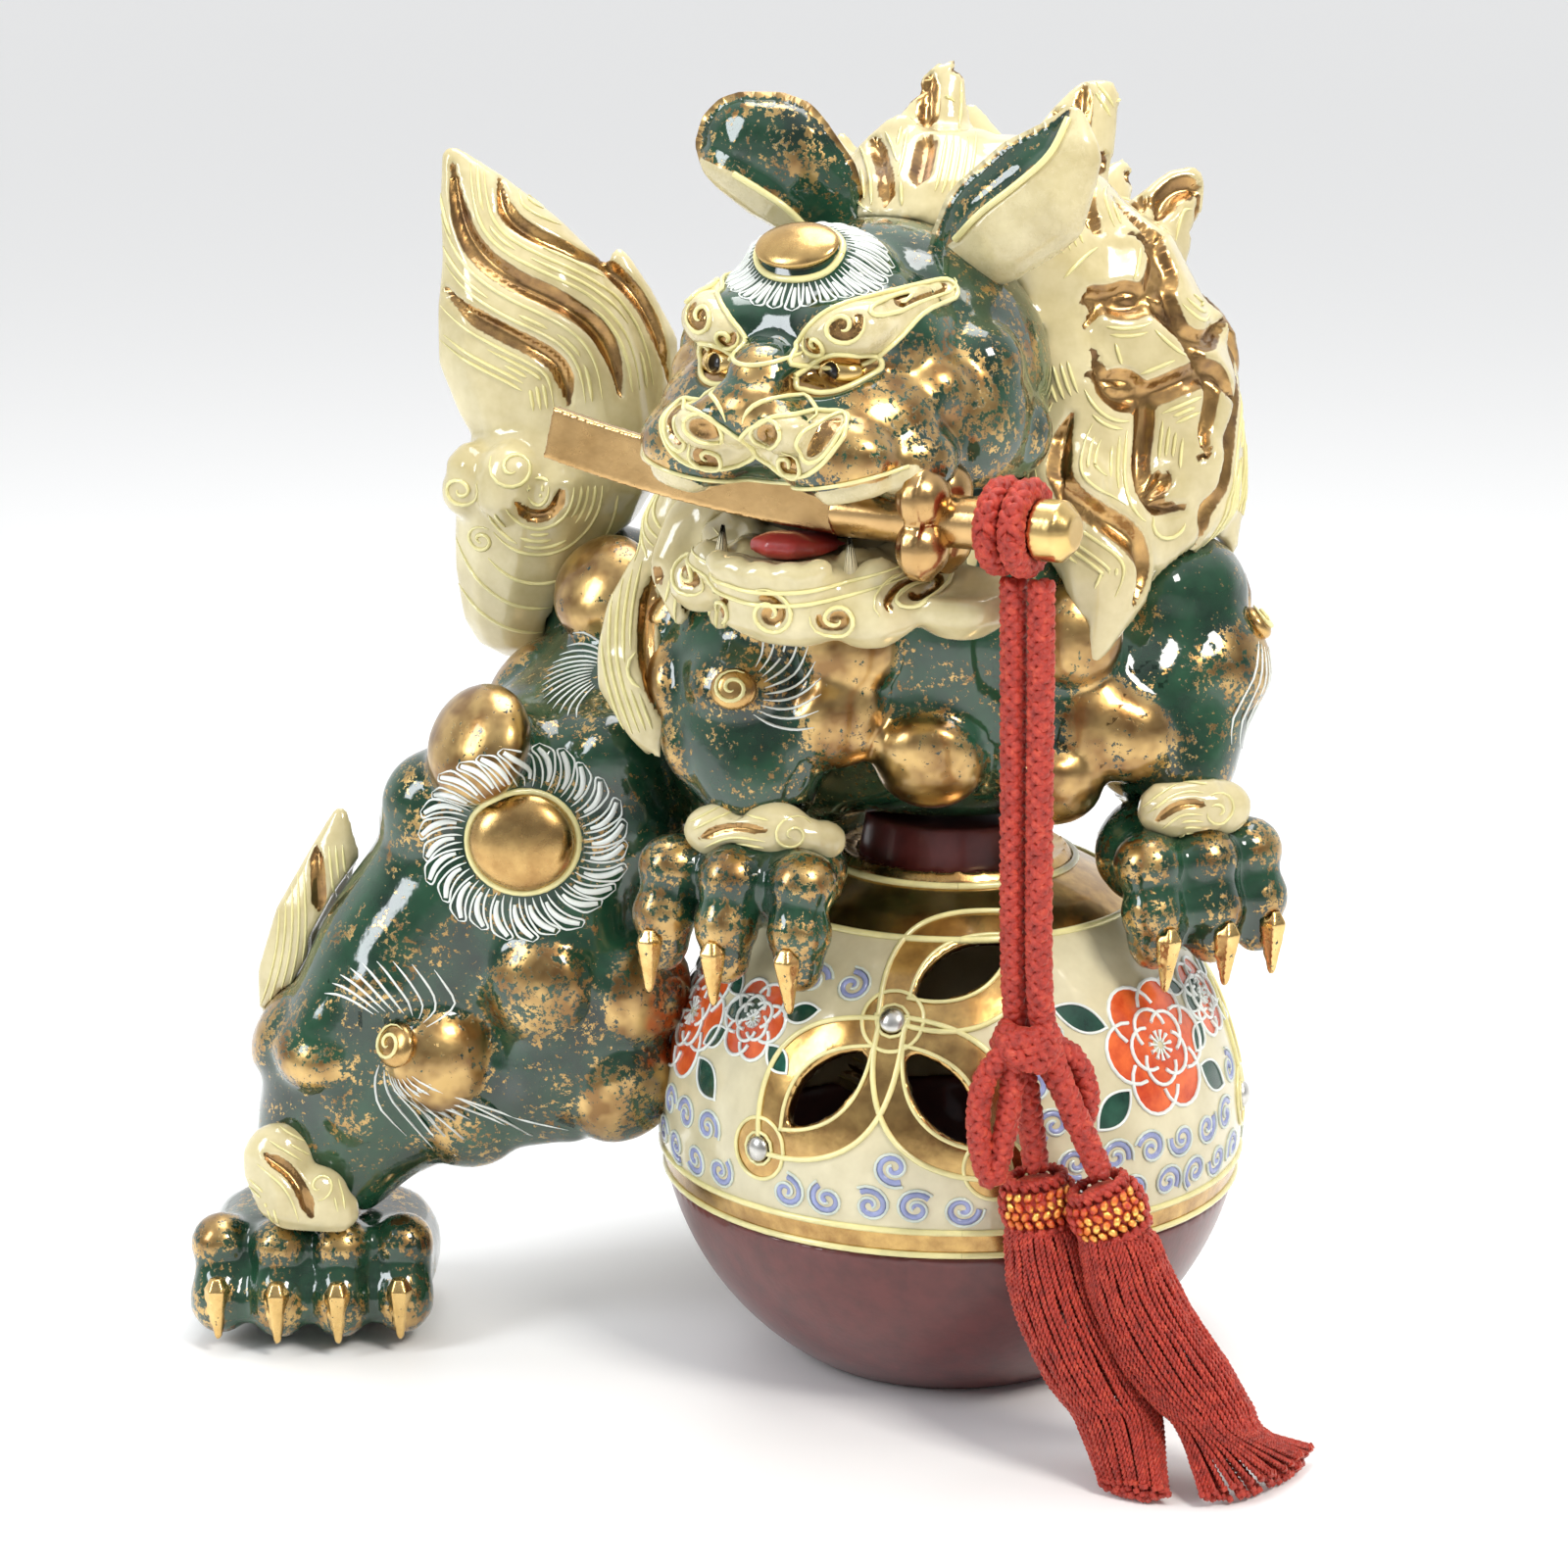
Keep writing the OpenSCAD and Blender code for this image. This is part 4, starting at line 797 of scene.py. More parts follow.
chestZ = 177
bodyBumps = {
    "front": [(-44, -31, 20, 11), (-56, -24, 12, 11), (-27, -36, 11, 11), (2, -38, 12, 12), (26, -34, 13, 11),
              (-30, -37, -6, 11), (-7, -36, -15, 12), (14, -37, -6, 11), (32, -29, -10, 12), (-60, 4, 18, 16),
              (-52, -14, -18, 16), (-85, 30, 10, 13), (-30, 58, 12, 14), (-55, 66, 4, 14), (4, 34, 8, 14),
              (18, 30, -16, 14), (30, 16, 6, 14), (-8, 48, -14, 15), (40, -24, -2, 12), (42, -18, -18, 12),
              (22, -33, -22, 11), (-48, 34, 28, 13), (-26, 24, 30, 14), (-72, 60, 12, 12),
              (-64, -22, -2, 12), (-52, -36, 3, 12), (-40, -36, -12, 11), (-64, -26, -17, 11),
              (-66, -8, 10, 13),
              (50, -20, 22, 11), (62, -12, 22, 11), (48, -26, 0, 12), (64, -16, 2, 12), (60, 8, 14, 13),
              (60, 8, -10, 13), (40, -32, -12, 10)],
    "legs": [(-113, -10, 156, 14), (-84, -8, 155, 14), (-76, -8, 136, 14), (-131, 0, 141, 15),
             (-78, -12, 96, 13),
             (-102, -16, 98, 13), (-82, -10, 70, 14), (-103, -14, 74, 12), (-90, 30, 150, 15),
             (-112, 34, 140, 15),
             (-120, 30, 112, 14), (-92, 24, 112, 15), (-85, 22, 82, 13), (-110, 24, 92, 13), (-66, 10, 150, 14),
             (-121, -6, 58, 12), (-103, -6, 63, 12), (-157, -8, 84, 12), (-143, -12, 92, 11),
             (-128, -12, 78, 12),
             (-146, -10, 66, 11), (-164, 8, 78, 13), (-158, 22, 72, 12), (-140, 22, 86, 13), (-130, 20, 66, 12),
             (-30, 94, 146, 14), (-52, 88, 130, 14), (-24, 84, 124, 14), (-40, 92, 108, 13), (-14, 72, 112, 13),
             (-60, 84, 152, 13), (-18, 66, 140, 13), (-38, 90, 84, 12), (-20, 92, 78, 12), (-14, 78, 84, 12),
             (-34, 92, 60, 11), (-14, 88, 54, 11), (-44, 74, 76, 11)],
}


def nodeBlend(name, names, voxel, rounds, extra=None, core=None):
    # The named nodes as one smooth mass of clay. Core smooths them first, extra then adds shapes, and the
    # values returned as high say how far, in mm, each place stands above that core.
    obj = meshFromBmesh(name, nodesTogether(names))
    blended(obj, *core)
    under = treeOf(obj)
    if extra:
        more = bmesh.new()
        more.from_mesh(obj.data)
        extra(more, under)
        more.to_mesh(obj.data)
        more.free()
    blended(obj, voxel, rounds, 0.6)
    high = []
    for v in obj.data.vertices:
        place, normal, index, distance = under.find_nearest(v.co)
        high.append((v.co - place).dot(normal) / mm)
    return obj, np.array(high)


def bodyShapes(bm, under):
    # Broad low mounds: each ball is sunk into the clay that it stands on.
    for x, y, z, r in [(x, y, chestZ + z, r) for x, y, z, r in bodyBumps["front"]] + bodyBumps["legs"]:
        place, normal, index, distance = under.find_nearest(v3(x, y, z))
        top = 0.3 * r + 0.8
        turn = facing(normal)
        addBall(bm, place + normal * (top - r * 0.66) * mm, (r * 1.12, r * 1.12, r * 0.66), turn, 3)


bodyNodes = ["torso", "foreleg_right", "foreleg_left", "thigh_right", "shin_right", "thigh_left", "shin_left",
             "tail_root"]
body, high = nodeBlend("greenBody", bodyNodes, 1.4, 8, bodyShapes, (2.2, 60, 0.8))
print("body", len(body.data.vertices), np.percentile(high, (5, 50, 95)))
setAttribute(body, "gold", 0.12 + 0.46 * np.clip(high / 3.6, 0, 1))
bodyTree = treeOf(body)
splitByNode(body, bodyNodes, glaze["green"])

print("feet and paws")


def footShapes(bm, under):
    for at, w, deep, h, toes in (((-162, 8, 0), 60, 58, 36, 4), ((-22, 82, 0), 60, 58, 36, 4)):
        for i in range(toes):
            off = i - (toes - 1) / 2
            x = at[0] + off * (w - 14) / (toes - 1)
            y = at[1] - deep / 2 + 10 + abs(off) * 3.2
            addBall(bm, v3(x, y + 4, h * 0.70), (8.0, 8.4, 8.0), None, 3)
            addBall(bm, v3(x, y - 0.2, h * 0.33 + 0.3), (7.9, 9.3, 9.2), None, 3)


footNodes = ["hindfoot_right", "hindfoot_left"]
feet, high = nodeBlend("feet", footNodes, 1.1, 6, footShapes, (1.8, 8, 0.6))
setAttribute(feet, "gold", np.clip(0.12 + convexity(feet, 18) * 0.32, 0, 0.52))
splitByNode(feet, footNodes, glaze["green"])


def pawShapes(bm, under):
    for at, turn, toes, w in (((-48, -40, 128), -28, 3, 50), ((52, -27, 129), 30, 3, 44)):
        place = Matrix.Translation(v3(*at)) @ Matrix.Rotation(math.radians(turn), 4, "Z")
        for i in range(toes):
            off = i - (toes - 1) / 2
            x = off * (w - 15) / (toes - 1)
            y = -13 + abs(off) * 2.4
            addBall(bm, place @ v3(x, y, 7), (8.6, 8.8, 8.2), place.to_3x3().to_4x4(), 3)
            addBall(bm, place @ v3(x * 1.04, y - 3.2, -4), (7.9, 8.0, 8.4), place.to_3x3().to_4x4(), 3)


pawNodes = ["forepaw_right", "forepaw_left"]
paws, high = nodeBlend("paws", pawNodes, 1.1, 6, pawShapes, (1.8, 8, 0.6))
setAttribute(paws, "gold", np.clip(0.12 + convexity(paws, 18) * 0.32, 0, 0.52))
splitByNode(paws, pawNodes, glaze["green"])

print("head")

headAt = (-23, -34, 249)
headYaw = -29
headPlace = Matrix.Translation(v3(*headAt)) @ Matrix.Rotation(math.radians(headYaw), 4, "Z")
headTurn = headPlace.to_3x3().to_4x4()


def inHead(x, y, z):
    return headPlace @ v3(x, y, z)


def swayed(start, finish, bend, waves=1, count=9):
    # A stroke from start to finish that swings aside by bend.
    length = math.dist(start, finish)
    along = ((finish[0] - start[0]) / length, (finish[1] - start[1]) / length)
    out = []
    for i in range(count):
        t = i / (count - 1)
        k = bend * math.sin(math.pi * waves * t)
        out.append((start[0] + along[0] * length * t - along[1] * k,
                    start[1] + along[1] * length * t + along[0] * k))
    return out


def leafOutline(root, tip, width, bend=0.0):
    # A closed leaf along a bent spine, fullest at its middle.
    spine = swayed(root, tip, bend)
    edges = []
    for side in (1, -1):
        edge = []
        for i, (h, z) in enumerate(spine):
            a, b = spine[max(0, i - 1)], spine[min(len(spine) - 1, i + 1)]
            d = math.dist(a, b)
            half = side * width / 2 * math.sin(math.pi * (0.06 + 0.88 * i / (len(spine) - 1))) ** 0.7
            edge.append((h - (b[1] - a[1]) / d * half, z + (b[0] - a[0]) / d * half))
        edges.append(edge)
    return edges[0] + edges[1][::-1]


def ovalOutline(center, width, height, turn=0.0, count=14):
    out = []
    for i in range(count):
        a = 2 * math.pi * i / count
        x, z = math.cos(a) * width, math.sin(a) * height
        out.append((center[0] + x * math.cos(turn) - z * math.sin(turn),
                    center[1] + x * math.sin(turn) + z * math.cos(turn)))
    return out


def ovalArc(center, width, height, first, last, count=13):
    # The part of an oval between two angles in degrees.
    return [(center[0] + width * math.cos(math.radians(first + (last - first) * i / (count - 1))),
             center[1] + height * math.sin(math.radians(first + (last - first) * i / (count - 1))))
            for i in range(count)]


def curlOutline(center, size, start, hand, turns=1.35, count=26):
    # A spiral that winds in to its eye.
    out = []
    for i in range(count):
        t = i / (count - 1)
        a = start + hand * 2 * math.pi * turns * t
        r = size * (1 - 0.86 * t)
        out.append((center[0] + math.cos(a) * r, center[1] + math.sin(a) * r * 0.92))
    return out


# One half of the face, in mm across from its middle and up from the head's centre.
faceHalf = {
    "brow": ((7, 14), (27, 26), 13.5, -2),
    "whisker": ((0, -6), (22, 0), 14, -2),
    "lid": ((8, 8), (23, 12), 8.5, 0),
    "eye": (15, 10),
    "nostril": ((8, -2), 4.4, 3.2, 20),
    "patch": ((18.5, -3), 3.0, 5.6, -30),
    "curls": [((18, 20.5), 5.0, 0.5, -1), ((24.5, 25), 3.4, 1.0, -1), ((11.5, 16), 3.4, 2.6, 1),
              ((10, -9.5), 4.6, 1.2, -1)],
    "gold": [((4, 4), 8, 4, 1.0), ((0, 12), 6, 3, 1.0), ((31, 4), 12, 13, 0.8), ((27, -9), 12, 8, 0.9)],
}
upperLip = [(h, -20 + 6 * (h / 34) ** 2) for h in range(-34, 35, 4)]
lowerLip = [(h, -37 + 7 * (h / 30) ** 2) for h in range(-30, 31, 4)]


def mirrored(outline, side):
    return [(side * h, z) for h, z in outline]


def seenOnFace(h, z, tree, lift=0.0):
    # A place on the head, looked for straight from before the face.
    return seenFrom(inHead(h, -300, z), inHead(h, 0, z), tree, lift)


def headShapes(bm):
    for center, radii in (((0, 6, 2), (41, 42, 37)), ((0, -31, -2), (35, 23, 17)), ((0, -20, 14), (32, 25, 20)),
                          ((0, -22, 31), (18, 15, 9)),
                          ((0, -47, 9), (9, 10, 8)), ((0, -54, 2), (12, 8.5, 7.5))):
        addBall(bm, inHead(*center), radii, headTurn, 4)
    for side in (-1, 1):
        for center, radii in (((29, -8, -4), (16, 20, 19)), ((13, -37, 19), (13, 9, 7)),
                              ((17, -47, -8), (15, 10, 10)), ((28, -33, -10), (12, 12, 10)),
                              ((28, -22, 4), (10.5, 10, 9.5)), ((33, -8, 8), (11, 11, 11)),
                              ((34, 3, -8), (12, 12, 12)), ((10, -58, -1), (6, 5, 5)),
                              ((26, -28, -7), (10, 10, 9))):
            addBall(bm, inHead(center[0] * side, center[1], center[2]), radii, headTurn, 4)


def cutWith(obj, cutter):
    mod = obj.modifiers.new("cut", "BOOLEAN")
    mod.operation = "DIFFERENCE"
    mod.object = cutter
    mod.solver = "EXACT"
    mesh = bpy.data.meshes.new_from_object(obj.evaluated_get(bpy.context.evaluated_depsgraph_get()))
    obj.modifiers.clear()
    obj.data = mesh
    bpy.data.objects.remove(cutter)


bm = bmesh.new()
headShapes(bm)
head = blended(meshFromBmesh("head_skin", bm), 1.0, 16, 0.6)
# The mouth: the head ends at the upper lip, and its roof arches up inside.
bm = bmesh.new()
bmesh.ops.create_cube(bm, size=1, matrix=headPlace @ Matrix.Translation(v3(0, 0, -59))
                      @ Matrix.Diagonal((0.14, 0.16, 0.08, 1)))
cutWith(head, meshFromBmesh("cut", bm))
bm = bmesh.new()
for center, radii in (((0, -24, -22), (34, 26, 9)), ((0, -44, -24), (25, 15, 7.5))):
    addBall(bm, inHead(*center), radii, headTurn, 4)
cutWith(head, meshFromBmesh("cut", bm))
blended(head, 0.85, 3, 0.5)
headTree = treeOf(head)


def onFace(points, tree=None, lift=0.0):
    return [seenOnFace(h, z, tree or headTree, lift)[0] for h, z in points]


def insideBy(flat, outline):
    # How far inside a closed outline each flat place is, in mm; less than nothing outside.
    pts = np.array([tuple(p)[:2] for p in smoothPath([(x, z, 0) for x, z in outline + [outline[0]]], 4)])
    inside = np.zeros(len(flat), bool)
    away = np.full(len(flat), 1e9)
    for a, b in zip(pts, np.roll(pts, -1, axis=0)):
        d = b - a
        t = np.clip(((flat - a) @ d) / max(1e-9, d @ d), 0, 1)
        away = np.minimum(away, np.linalg.norm(flat - a - t[:, None] * d, axis=1))
        if abs(b[1] - a[1]) > 1e-9:
            crosses = (a[1] > flat[:, 1]) != (b[1] > flat[:, 1])
            inside ^= crosses & (flat[:, 0] < (b[0] - a[0]) * (flat[:, 1] - a[1]) / (b[1] - a[1]) + a[0])
    return np.where(inside, away, -away)


def moveAlong(obj, amount):
    # Each vertex moves out along its normal by its amount in mm.
    coords = coordsOf(obj) + normalsOf(obj) * (np.asarray(amount) * mm)[:, None]
    obj.data.vertices.foreach_set("co", coords.ravel())
    obj.data.update()


def soft(away, width=0.8):
    return np.clip(0.5 + away / width, 0, 1)


def rounded(points, closed=False):
    # The same flat stroke with finer steps.
    ends = points + [points[0]] if closed else points
    return [(p.x, p.y) for p in smoothPath([(h, z, 0) for h, z in ends], 4)]


coords = coordsOf(head)
turnBack = np.array(headPlace.to_3x3().transposed())
local = (coords - np.array(headPlace.translation)) @ turnBack.T / mm
flat = local[:, [0, 2]]
ahead = np.where((normalsOf(head) @ turnBack.T)[:, 1] < 0.1, 1.0, 0.0)
bothSides = [(side, flat * np.array([side, 1])) for side in (-1, 1)]
cream, brown, nostril, eyeZone, panels, patches = (np.zeros(len(coords)) for _ in range(6))
panels -= 99
for side, half in bothSides:
    for key in ("brow", "whisker"):
        panels = np.maximum(panels, insideBy(half, leafOutline(*faceHalf[key])))
    eyeZone = np.maximum(eyeZone, soft(insideBy(half, leafOutline(*faceHalf["lid"])), 2.4) * ahead)
    center, width, height, lean = faceHalf["nostril"]
    nostril = np.maximum(nostril, soft(insideBy(half, ovalOutline(center, width * 0.75, height * 0.75,
                                                                  math.radians(lean))), 2.0) * ahead)
    center, width, height, lean = faceHalf["patch"]
    brown = np.maximum(brown, soft(insideBy(half, ovalOutline(center, width * 0.7, height * 0.8,
                                                              math.radians(lean)))) * ahead)
    for center, size, start, hand in faceHalf["curls"]:
        away, along = distanceTo(coords, onFace(mirrored(curlOutline(center, size * 0.62, start, hand, 1.1),
                                                         side)))
        brown = np.maximum(brown, soft(size * 0.22 - away / mm) * ahead)
    for center, width, height, amount in faceHalf["gold"]:
        patches = np.maximum(patches, soft(insideBy(half, ovalOutline(center, width, height)), 9) * amount
                             * ahead)
lipBand = 3.4 - distanceTo(coords, onFace([(h, z + 1.4) for h, z in upperLip]))[0] / mm
cream = np.maximum(soft(panels) * ahead, soft(lipBand))
discSpot = Vector((0, -30, 32))
petals = soft(20 - np.linalg.norm(local - np.array(discSpot), axis=1), 4)
relief = np.clip(panels / 2.5, 0, 1) * ahead * 1.3 + np.clip(lipBand / 3, 0,
                                                             1) * 1.6 - brown * 0.8 - nostril * 2.6 - eyeZone * 1.8
gold = np.maximum(np.clip(0.14 + convexity(head, 30) * 0.22, 0, 0.45), patches * 0.55) * (1 - petals)
moveAlong(head, relief)
setAttribute(head, "gold", np.clip(gold, 0, 1) * (1 - eyeZone))
setAttribute(head, "cream", cream * (1 - nostril))
setAttribute(head, "groove", np.maximum(np.maximum(brown, nostril), eyeZone))
# Painted shade: near black where the head faces down inside the mouth, below the upper lip.
setAttribute(head, "dark", soft(-18.5 - local[:, 2], 4) * (normalsOf(head)[:, 2] < -0.3))
headTree = treeOf(head)
finishPiece(head, "statue", glaze["head"], ["head"])

slip = []
for side in (-1, 1):
    for key, size in (("brow", 0.62), ("whisker", 0.62), ("lid", 0.75)):
        slip.append((onFace(mirrored(rounded(leafOutline(*faceHalf[key]), True), side), lift=0.25), size))
    for key in ("nostril", "patch"):
        center, width, height, lean = faceHalf[key]
        slip.append((onFace(mirrored(rounded(ovalOutline(center, width, height, math.radians(lean)), True),
                                     side), lift=0.25), 0.5))
    for center, size, start, hand in faceHalf["curls"]:
        points = onFace(mirrored(curlOutline(center, size, start, hand), side), lift=0.3)
        slip.append((points, taper(len(points), 0.58)))
    wing = onFace(mirrored(ovalArc((9, -1), 7, 6.5, 10, 170), side), lift=0.2)
    slip.append((wing, taper(len(wing), 0.6)))
between = onFace(ovalArc((0, 16), 9, 4, 200, 340), lift=0.2)
slip.append((between, taper(len(between), 0.6)))
slip.append((onFace([(h, z + 4.4) for h, z in rounded(upperLip)], lift=0.25), 0.5))
slipLines("face_slip_lines", slip)

# Eyeballs, each with a round hole for its pupil, and a black disc of painted shade deep in each hole.
bm = bmesh.new()
pupils = bmesh.new()
for side in (-1, 1):
    place, normal = seenOnFace(side * faceHalf["eye"][0], faceHalf["eye"][1], headTree)
    addBall(bm, place - normal * 1.9 * mm, (6.4, 4.4, 4.0), headTurn, 4)
eyes = meshFromBmesh("eyeballs", bm)
eyeTree = treeOf(eyes)
for side in (-1, 1):
    place, normal = seenOnFace(side * faceHalf["eye"][0] - 1, faceHalf["eye"][1], eyeTree)
    turn = facing(normal)
    cut = bmesh.new()
    bmesh.ops.create_cone(cut, cap_ends=True, segments=28, radius1=2.2 * mm, radius2=2.4 * mm, depth=5 * mm,
                          matrix=Matrix.Translation(place) @ turn)
    cutWith(eyes, meshFromBmesh("cut", cut))
    # A black disc of painted shade inside each pupil's hole.
    bmesh.ops.create_cone(pupils, cap_ends=True, segments=28, radius1=2.25 * mm, radius2=2.25 * mm,
                          depth=1.0 * mm, matrix=Matrix.Translation(place - normal * 1.9 * mm) @ turn)
finishPiece(eyes, "statue", glaze["brightGold"], ["eyes"])
# The pupils' discs are painted shade.
finishPiece(meshFromBmesh("pupils", pupils), "statue", glaze["mouth"], ())


def discPetals(name, tree, eye, center, inner, outer, count, lift, lean=0.0, fat=0.8):
    # A domed disc's rim line and the slip petals round it: each a white drop in a thin outline.
    dropLines = []
    toward = (center - eye).normalized()
    across = toward.cross(Vector((0, 0, 1))).normalized()
    upward = across.cross(toward).normalized()

    def at(a, k):
        return seenFrom(eye, center + across * (math.cos(a) * (inner[0] + (outer[0] - inner[0]) * k)) * mm
                        + upward * (math.sin(a) * (inner[1] + (outer[1] - inner[1]) * k)) * mm, tree, lift)[0]

    rim = lineWork(name + "_rim", [([at(2 * math.pi * i / 40, 0.02) for i in range(41)], 0.85)], 2)
    for i in range(count):
        a = 2 * math.pi * i / count + random.uniform(-0.02, 0.02)
        reach = random.uniform(0.86, 1.0)
        drop = [at(a + lean * k * k, 0.26 + (reach - 0.34) * k) for k in (0, 0.25, 0.5, 0.75, 1.0)]
        dropLines.append((smoothPath(drop, 3), [fat * (0.3
                                                       + 0.7 * math.sin(math.pi
                                                                        * min(1, (k + 1.5) / 15)) ** 0.7
                                                       * (0.45 + 0.55 * k / 12)) for k in range(13)]))
        for side in (-0.66, 0.66):
            edge = [at(a + math.pi / count * side * (0.75 + 0.5 * k) + lean * k * k, 0.12 + (reach - 0.12) * k)
                    for k in (0, 0.2, 0.45, 0.7, 0.9)] + [at(a + lean, reach)]
            line = smoothPath(edge, 3)
            dropLines.append((line, taper(len(line), 0.3)))
    return lineWork(name + "_petals", dropLines, 1), rim


def domedDisc(name, tree, center, out, inner, outer, count, high, node, fat, lean=0.0):
    eye = center + out * 0.4
    petalWork, rimWork = discPetals(name, tree, eye, center, inner, outer, count, 0.1, lean, fat)
    finishPiece(petalWork, "statue", glaze["white"], ())
    finishPiece(rimWork, "statue", glaze["line"], ())
    place, normal = seenFrom(eye, center, tree)
    bm = bmesh.new()
    addBall(bm, place - out * 0.4 * mm, (inner[0] - 0.2, inner[1] - 0.2, high), facing(out), 4)
    finishPiece(meshFromBmesh(name + "_dome", bm), "statue", glaze["gold"], [node])


domedDisc("brow", headTree, inHead(*discSpot), (headTurn @ Vector((0, -0.6, 0.8))).normalized(), (10.5, 7.5),
          (21, 16), 27, 2.4, "brow_disc", 0.7)

# Lower jaw: its lip is one thick wavy roll from corner to corner.
jaw = meshFromBmesh("lower_jaw_skin", nodesTogether(["lower_jaw", "beard"]))
blended(jaw, 1.4, 5, 0.6)
more = bmesh.new()
more.from_mesh(jaw.data)
for i, p in enumerate(onFace([(h, z + 1.0) for h, z in rounded(lowerLip)], treeOf(jaw))):
    addBall(more, p + v3(0, 1.2, -0.4 + 0.7 * math.sin(i * 0.9)), (3.3, 3.6, 2.7), None, 2)
more.to_mesh(jaw.data)
more.free()
blended(jaw, 0.95, 4, 0.6)
jawTree = treeOf(jaw)
coords = coordsOf(jaw)
chinGroove = np.zeros(len(coords))
chinLines = []
for i, h in enumerate((-28, -13, 2, 17, 31)):
    center, size, hand = (h, -45 + 5 * (h / 30) ** 2 - 2 * (i % 2)), 6.6 - 1.4 * (i % 2), 1 if i % 2 else -1
    away, along = distanceTo(coords, onFace(curlOutline(center, size * 0.6, i, hand, 1.0), jawTree))
    chinGroove = np.maximum(chinGroove, np.clip(1 - away / mm / 1.7, 0, 1))
    points = onFace(curlOutline(center, size, i, hand, 1.5), jawTree, 0.25)
    chinLines.append((points, taper(len(points), 0.55)))
moveAlong(jaw, -1.2 * chinGroove)
setAttribute(jaw, "groove", chinGroove)
for drop in (3.0, 6.0):
    line = onFace([(h, z - drop) for h, z in rounded(lowerLip)], jawTree, 0.2)
    chinLines.append((line, taper(len(line), 0.5)))
finishPiece(jaw, "statue", glaze["cream"], ["lower_jaw", "beard"])
slipLines("chin_slip_lines", chinLines)

# Tongue, and the teeth: a pair of fangs from each jaw.
# The throat behind them is a near-black ball of painted shade.
bm = bmesh.new()
addBall(bm, inHead(0, -10, -27), (25, 12, 8), headTurn, 4)
finishPiece(meshFromBmesh("throat", bm), "statue", glaze["mouth"], ())
tongue = blended(meshFromBmesh("tongue_skin", nodesTogether(["tongue"])), 0.9, 5, 0.6)
finishPiece(tongue, "statue", glaze["tongue"], ["tongue"])
bm = bmesh.new()
for h, z, tipH, tipZ, wide, tree in ((12, -18, 12.5, -26, 2.3, headTree), (17, -36, 16.5, -29, 2.1, jawTree)):
    for side in (-1, 1):
        base = seenOnFace(side * h, z, tree)[0]
        tip = base + headTurn @ v3(side * (tipH - h), 0, tipZ - z)
        fang = bmesh.new()
        bmesh.ops.create_cone(fang, cap_ends=True, segments=12, radius1=wide * mm, radius2=0.35 * mm,
                              depth=(tip - base).length + 2 * mm,
                              matrix=Matrix.Translation((base + tip) / 2 + v3(0, 1.5, 0)) @ facing(tip - base))
        bmesh.ops.bevel(fang, geom=fang.edges[:], offset=0.3 * mm, offset_type="OFFSET", segments=2,
                        profile=0.5, affect="EDGES", material=-1)
        mesh = bpy.data.meshes.new("fang")
        fang.to_mesh(mesh)
        fang.free()
        bm.from_mesh(mesh)
finishPiece(meshFromBmesh("fangs", bm), "statue", glaze["tooth"], ["teeth"])

print("mane, tail and tufts")


def stretches(places):
    # The unbroken parts of a stroke whose gaps are None or a jump of over 5 mm.
    runs = [[]]
    for place in places:
        if place is None or (runs[-1] and (place - runs[-1][-1]).length > 5 * mm):
            runs.append([])
        if place is not None:
            runs[-1].append(place)
    return [run for run in runs if len(run) > 2]


def runsOn(points, tree, lift, look):
    # The stretches of a stroke that land on what faces the viewer, who looks along a level line.
    places = []
    for point in points:
        place, normal, index, distance = tree.ray_cast(point - look * 0.4, look)
        faces = place is not None and normal.dot(look) < -0.15
        places.append(place + normal * lift * mm if faces else None)
    return stretches(places)


def clearOf(run, hollows, taken):
    # What is left of a line beside the hollows and the lines laid before it.
    spots = np.array([tuple(p) for p in run])
    clear = np.ones(len(spots), bool)
    for width, path in hollows:
        away = np.linalg.norm(spots[:, None] - path[None], axis=2).min(axis=1) / mm
        clear &= away > width / 2 + 0.3
    cells = [tuple(int(math.floor(c / (0.8 * mm))) for c in p) for p in run]
    for i, (x, y, z) in enumerate(cells):
        clear[i] &= not any((x + a, y + b, z + c) in taken for a in (-1, 0, 1) for b in (-1, 0, 1)
                            for c in (-1, 0, 1))
    taken.update(cells)
    return stretches([p if ok else None for p, ok in zip(run, clear)])


def offsetStroke(points, away):
    out = []
    for i, (h, z) in enumerate(points):
        a, b = points[max(0, i - 1)], points[min(len(points) - 1, i + 1)]
        d = math.dist(a, b) or 1
        out.append((h - (b[1] - a[1]) / d * away, z + (b[0] - a[0]) / d * away))
    return out


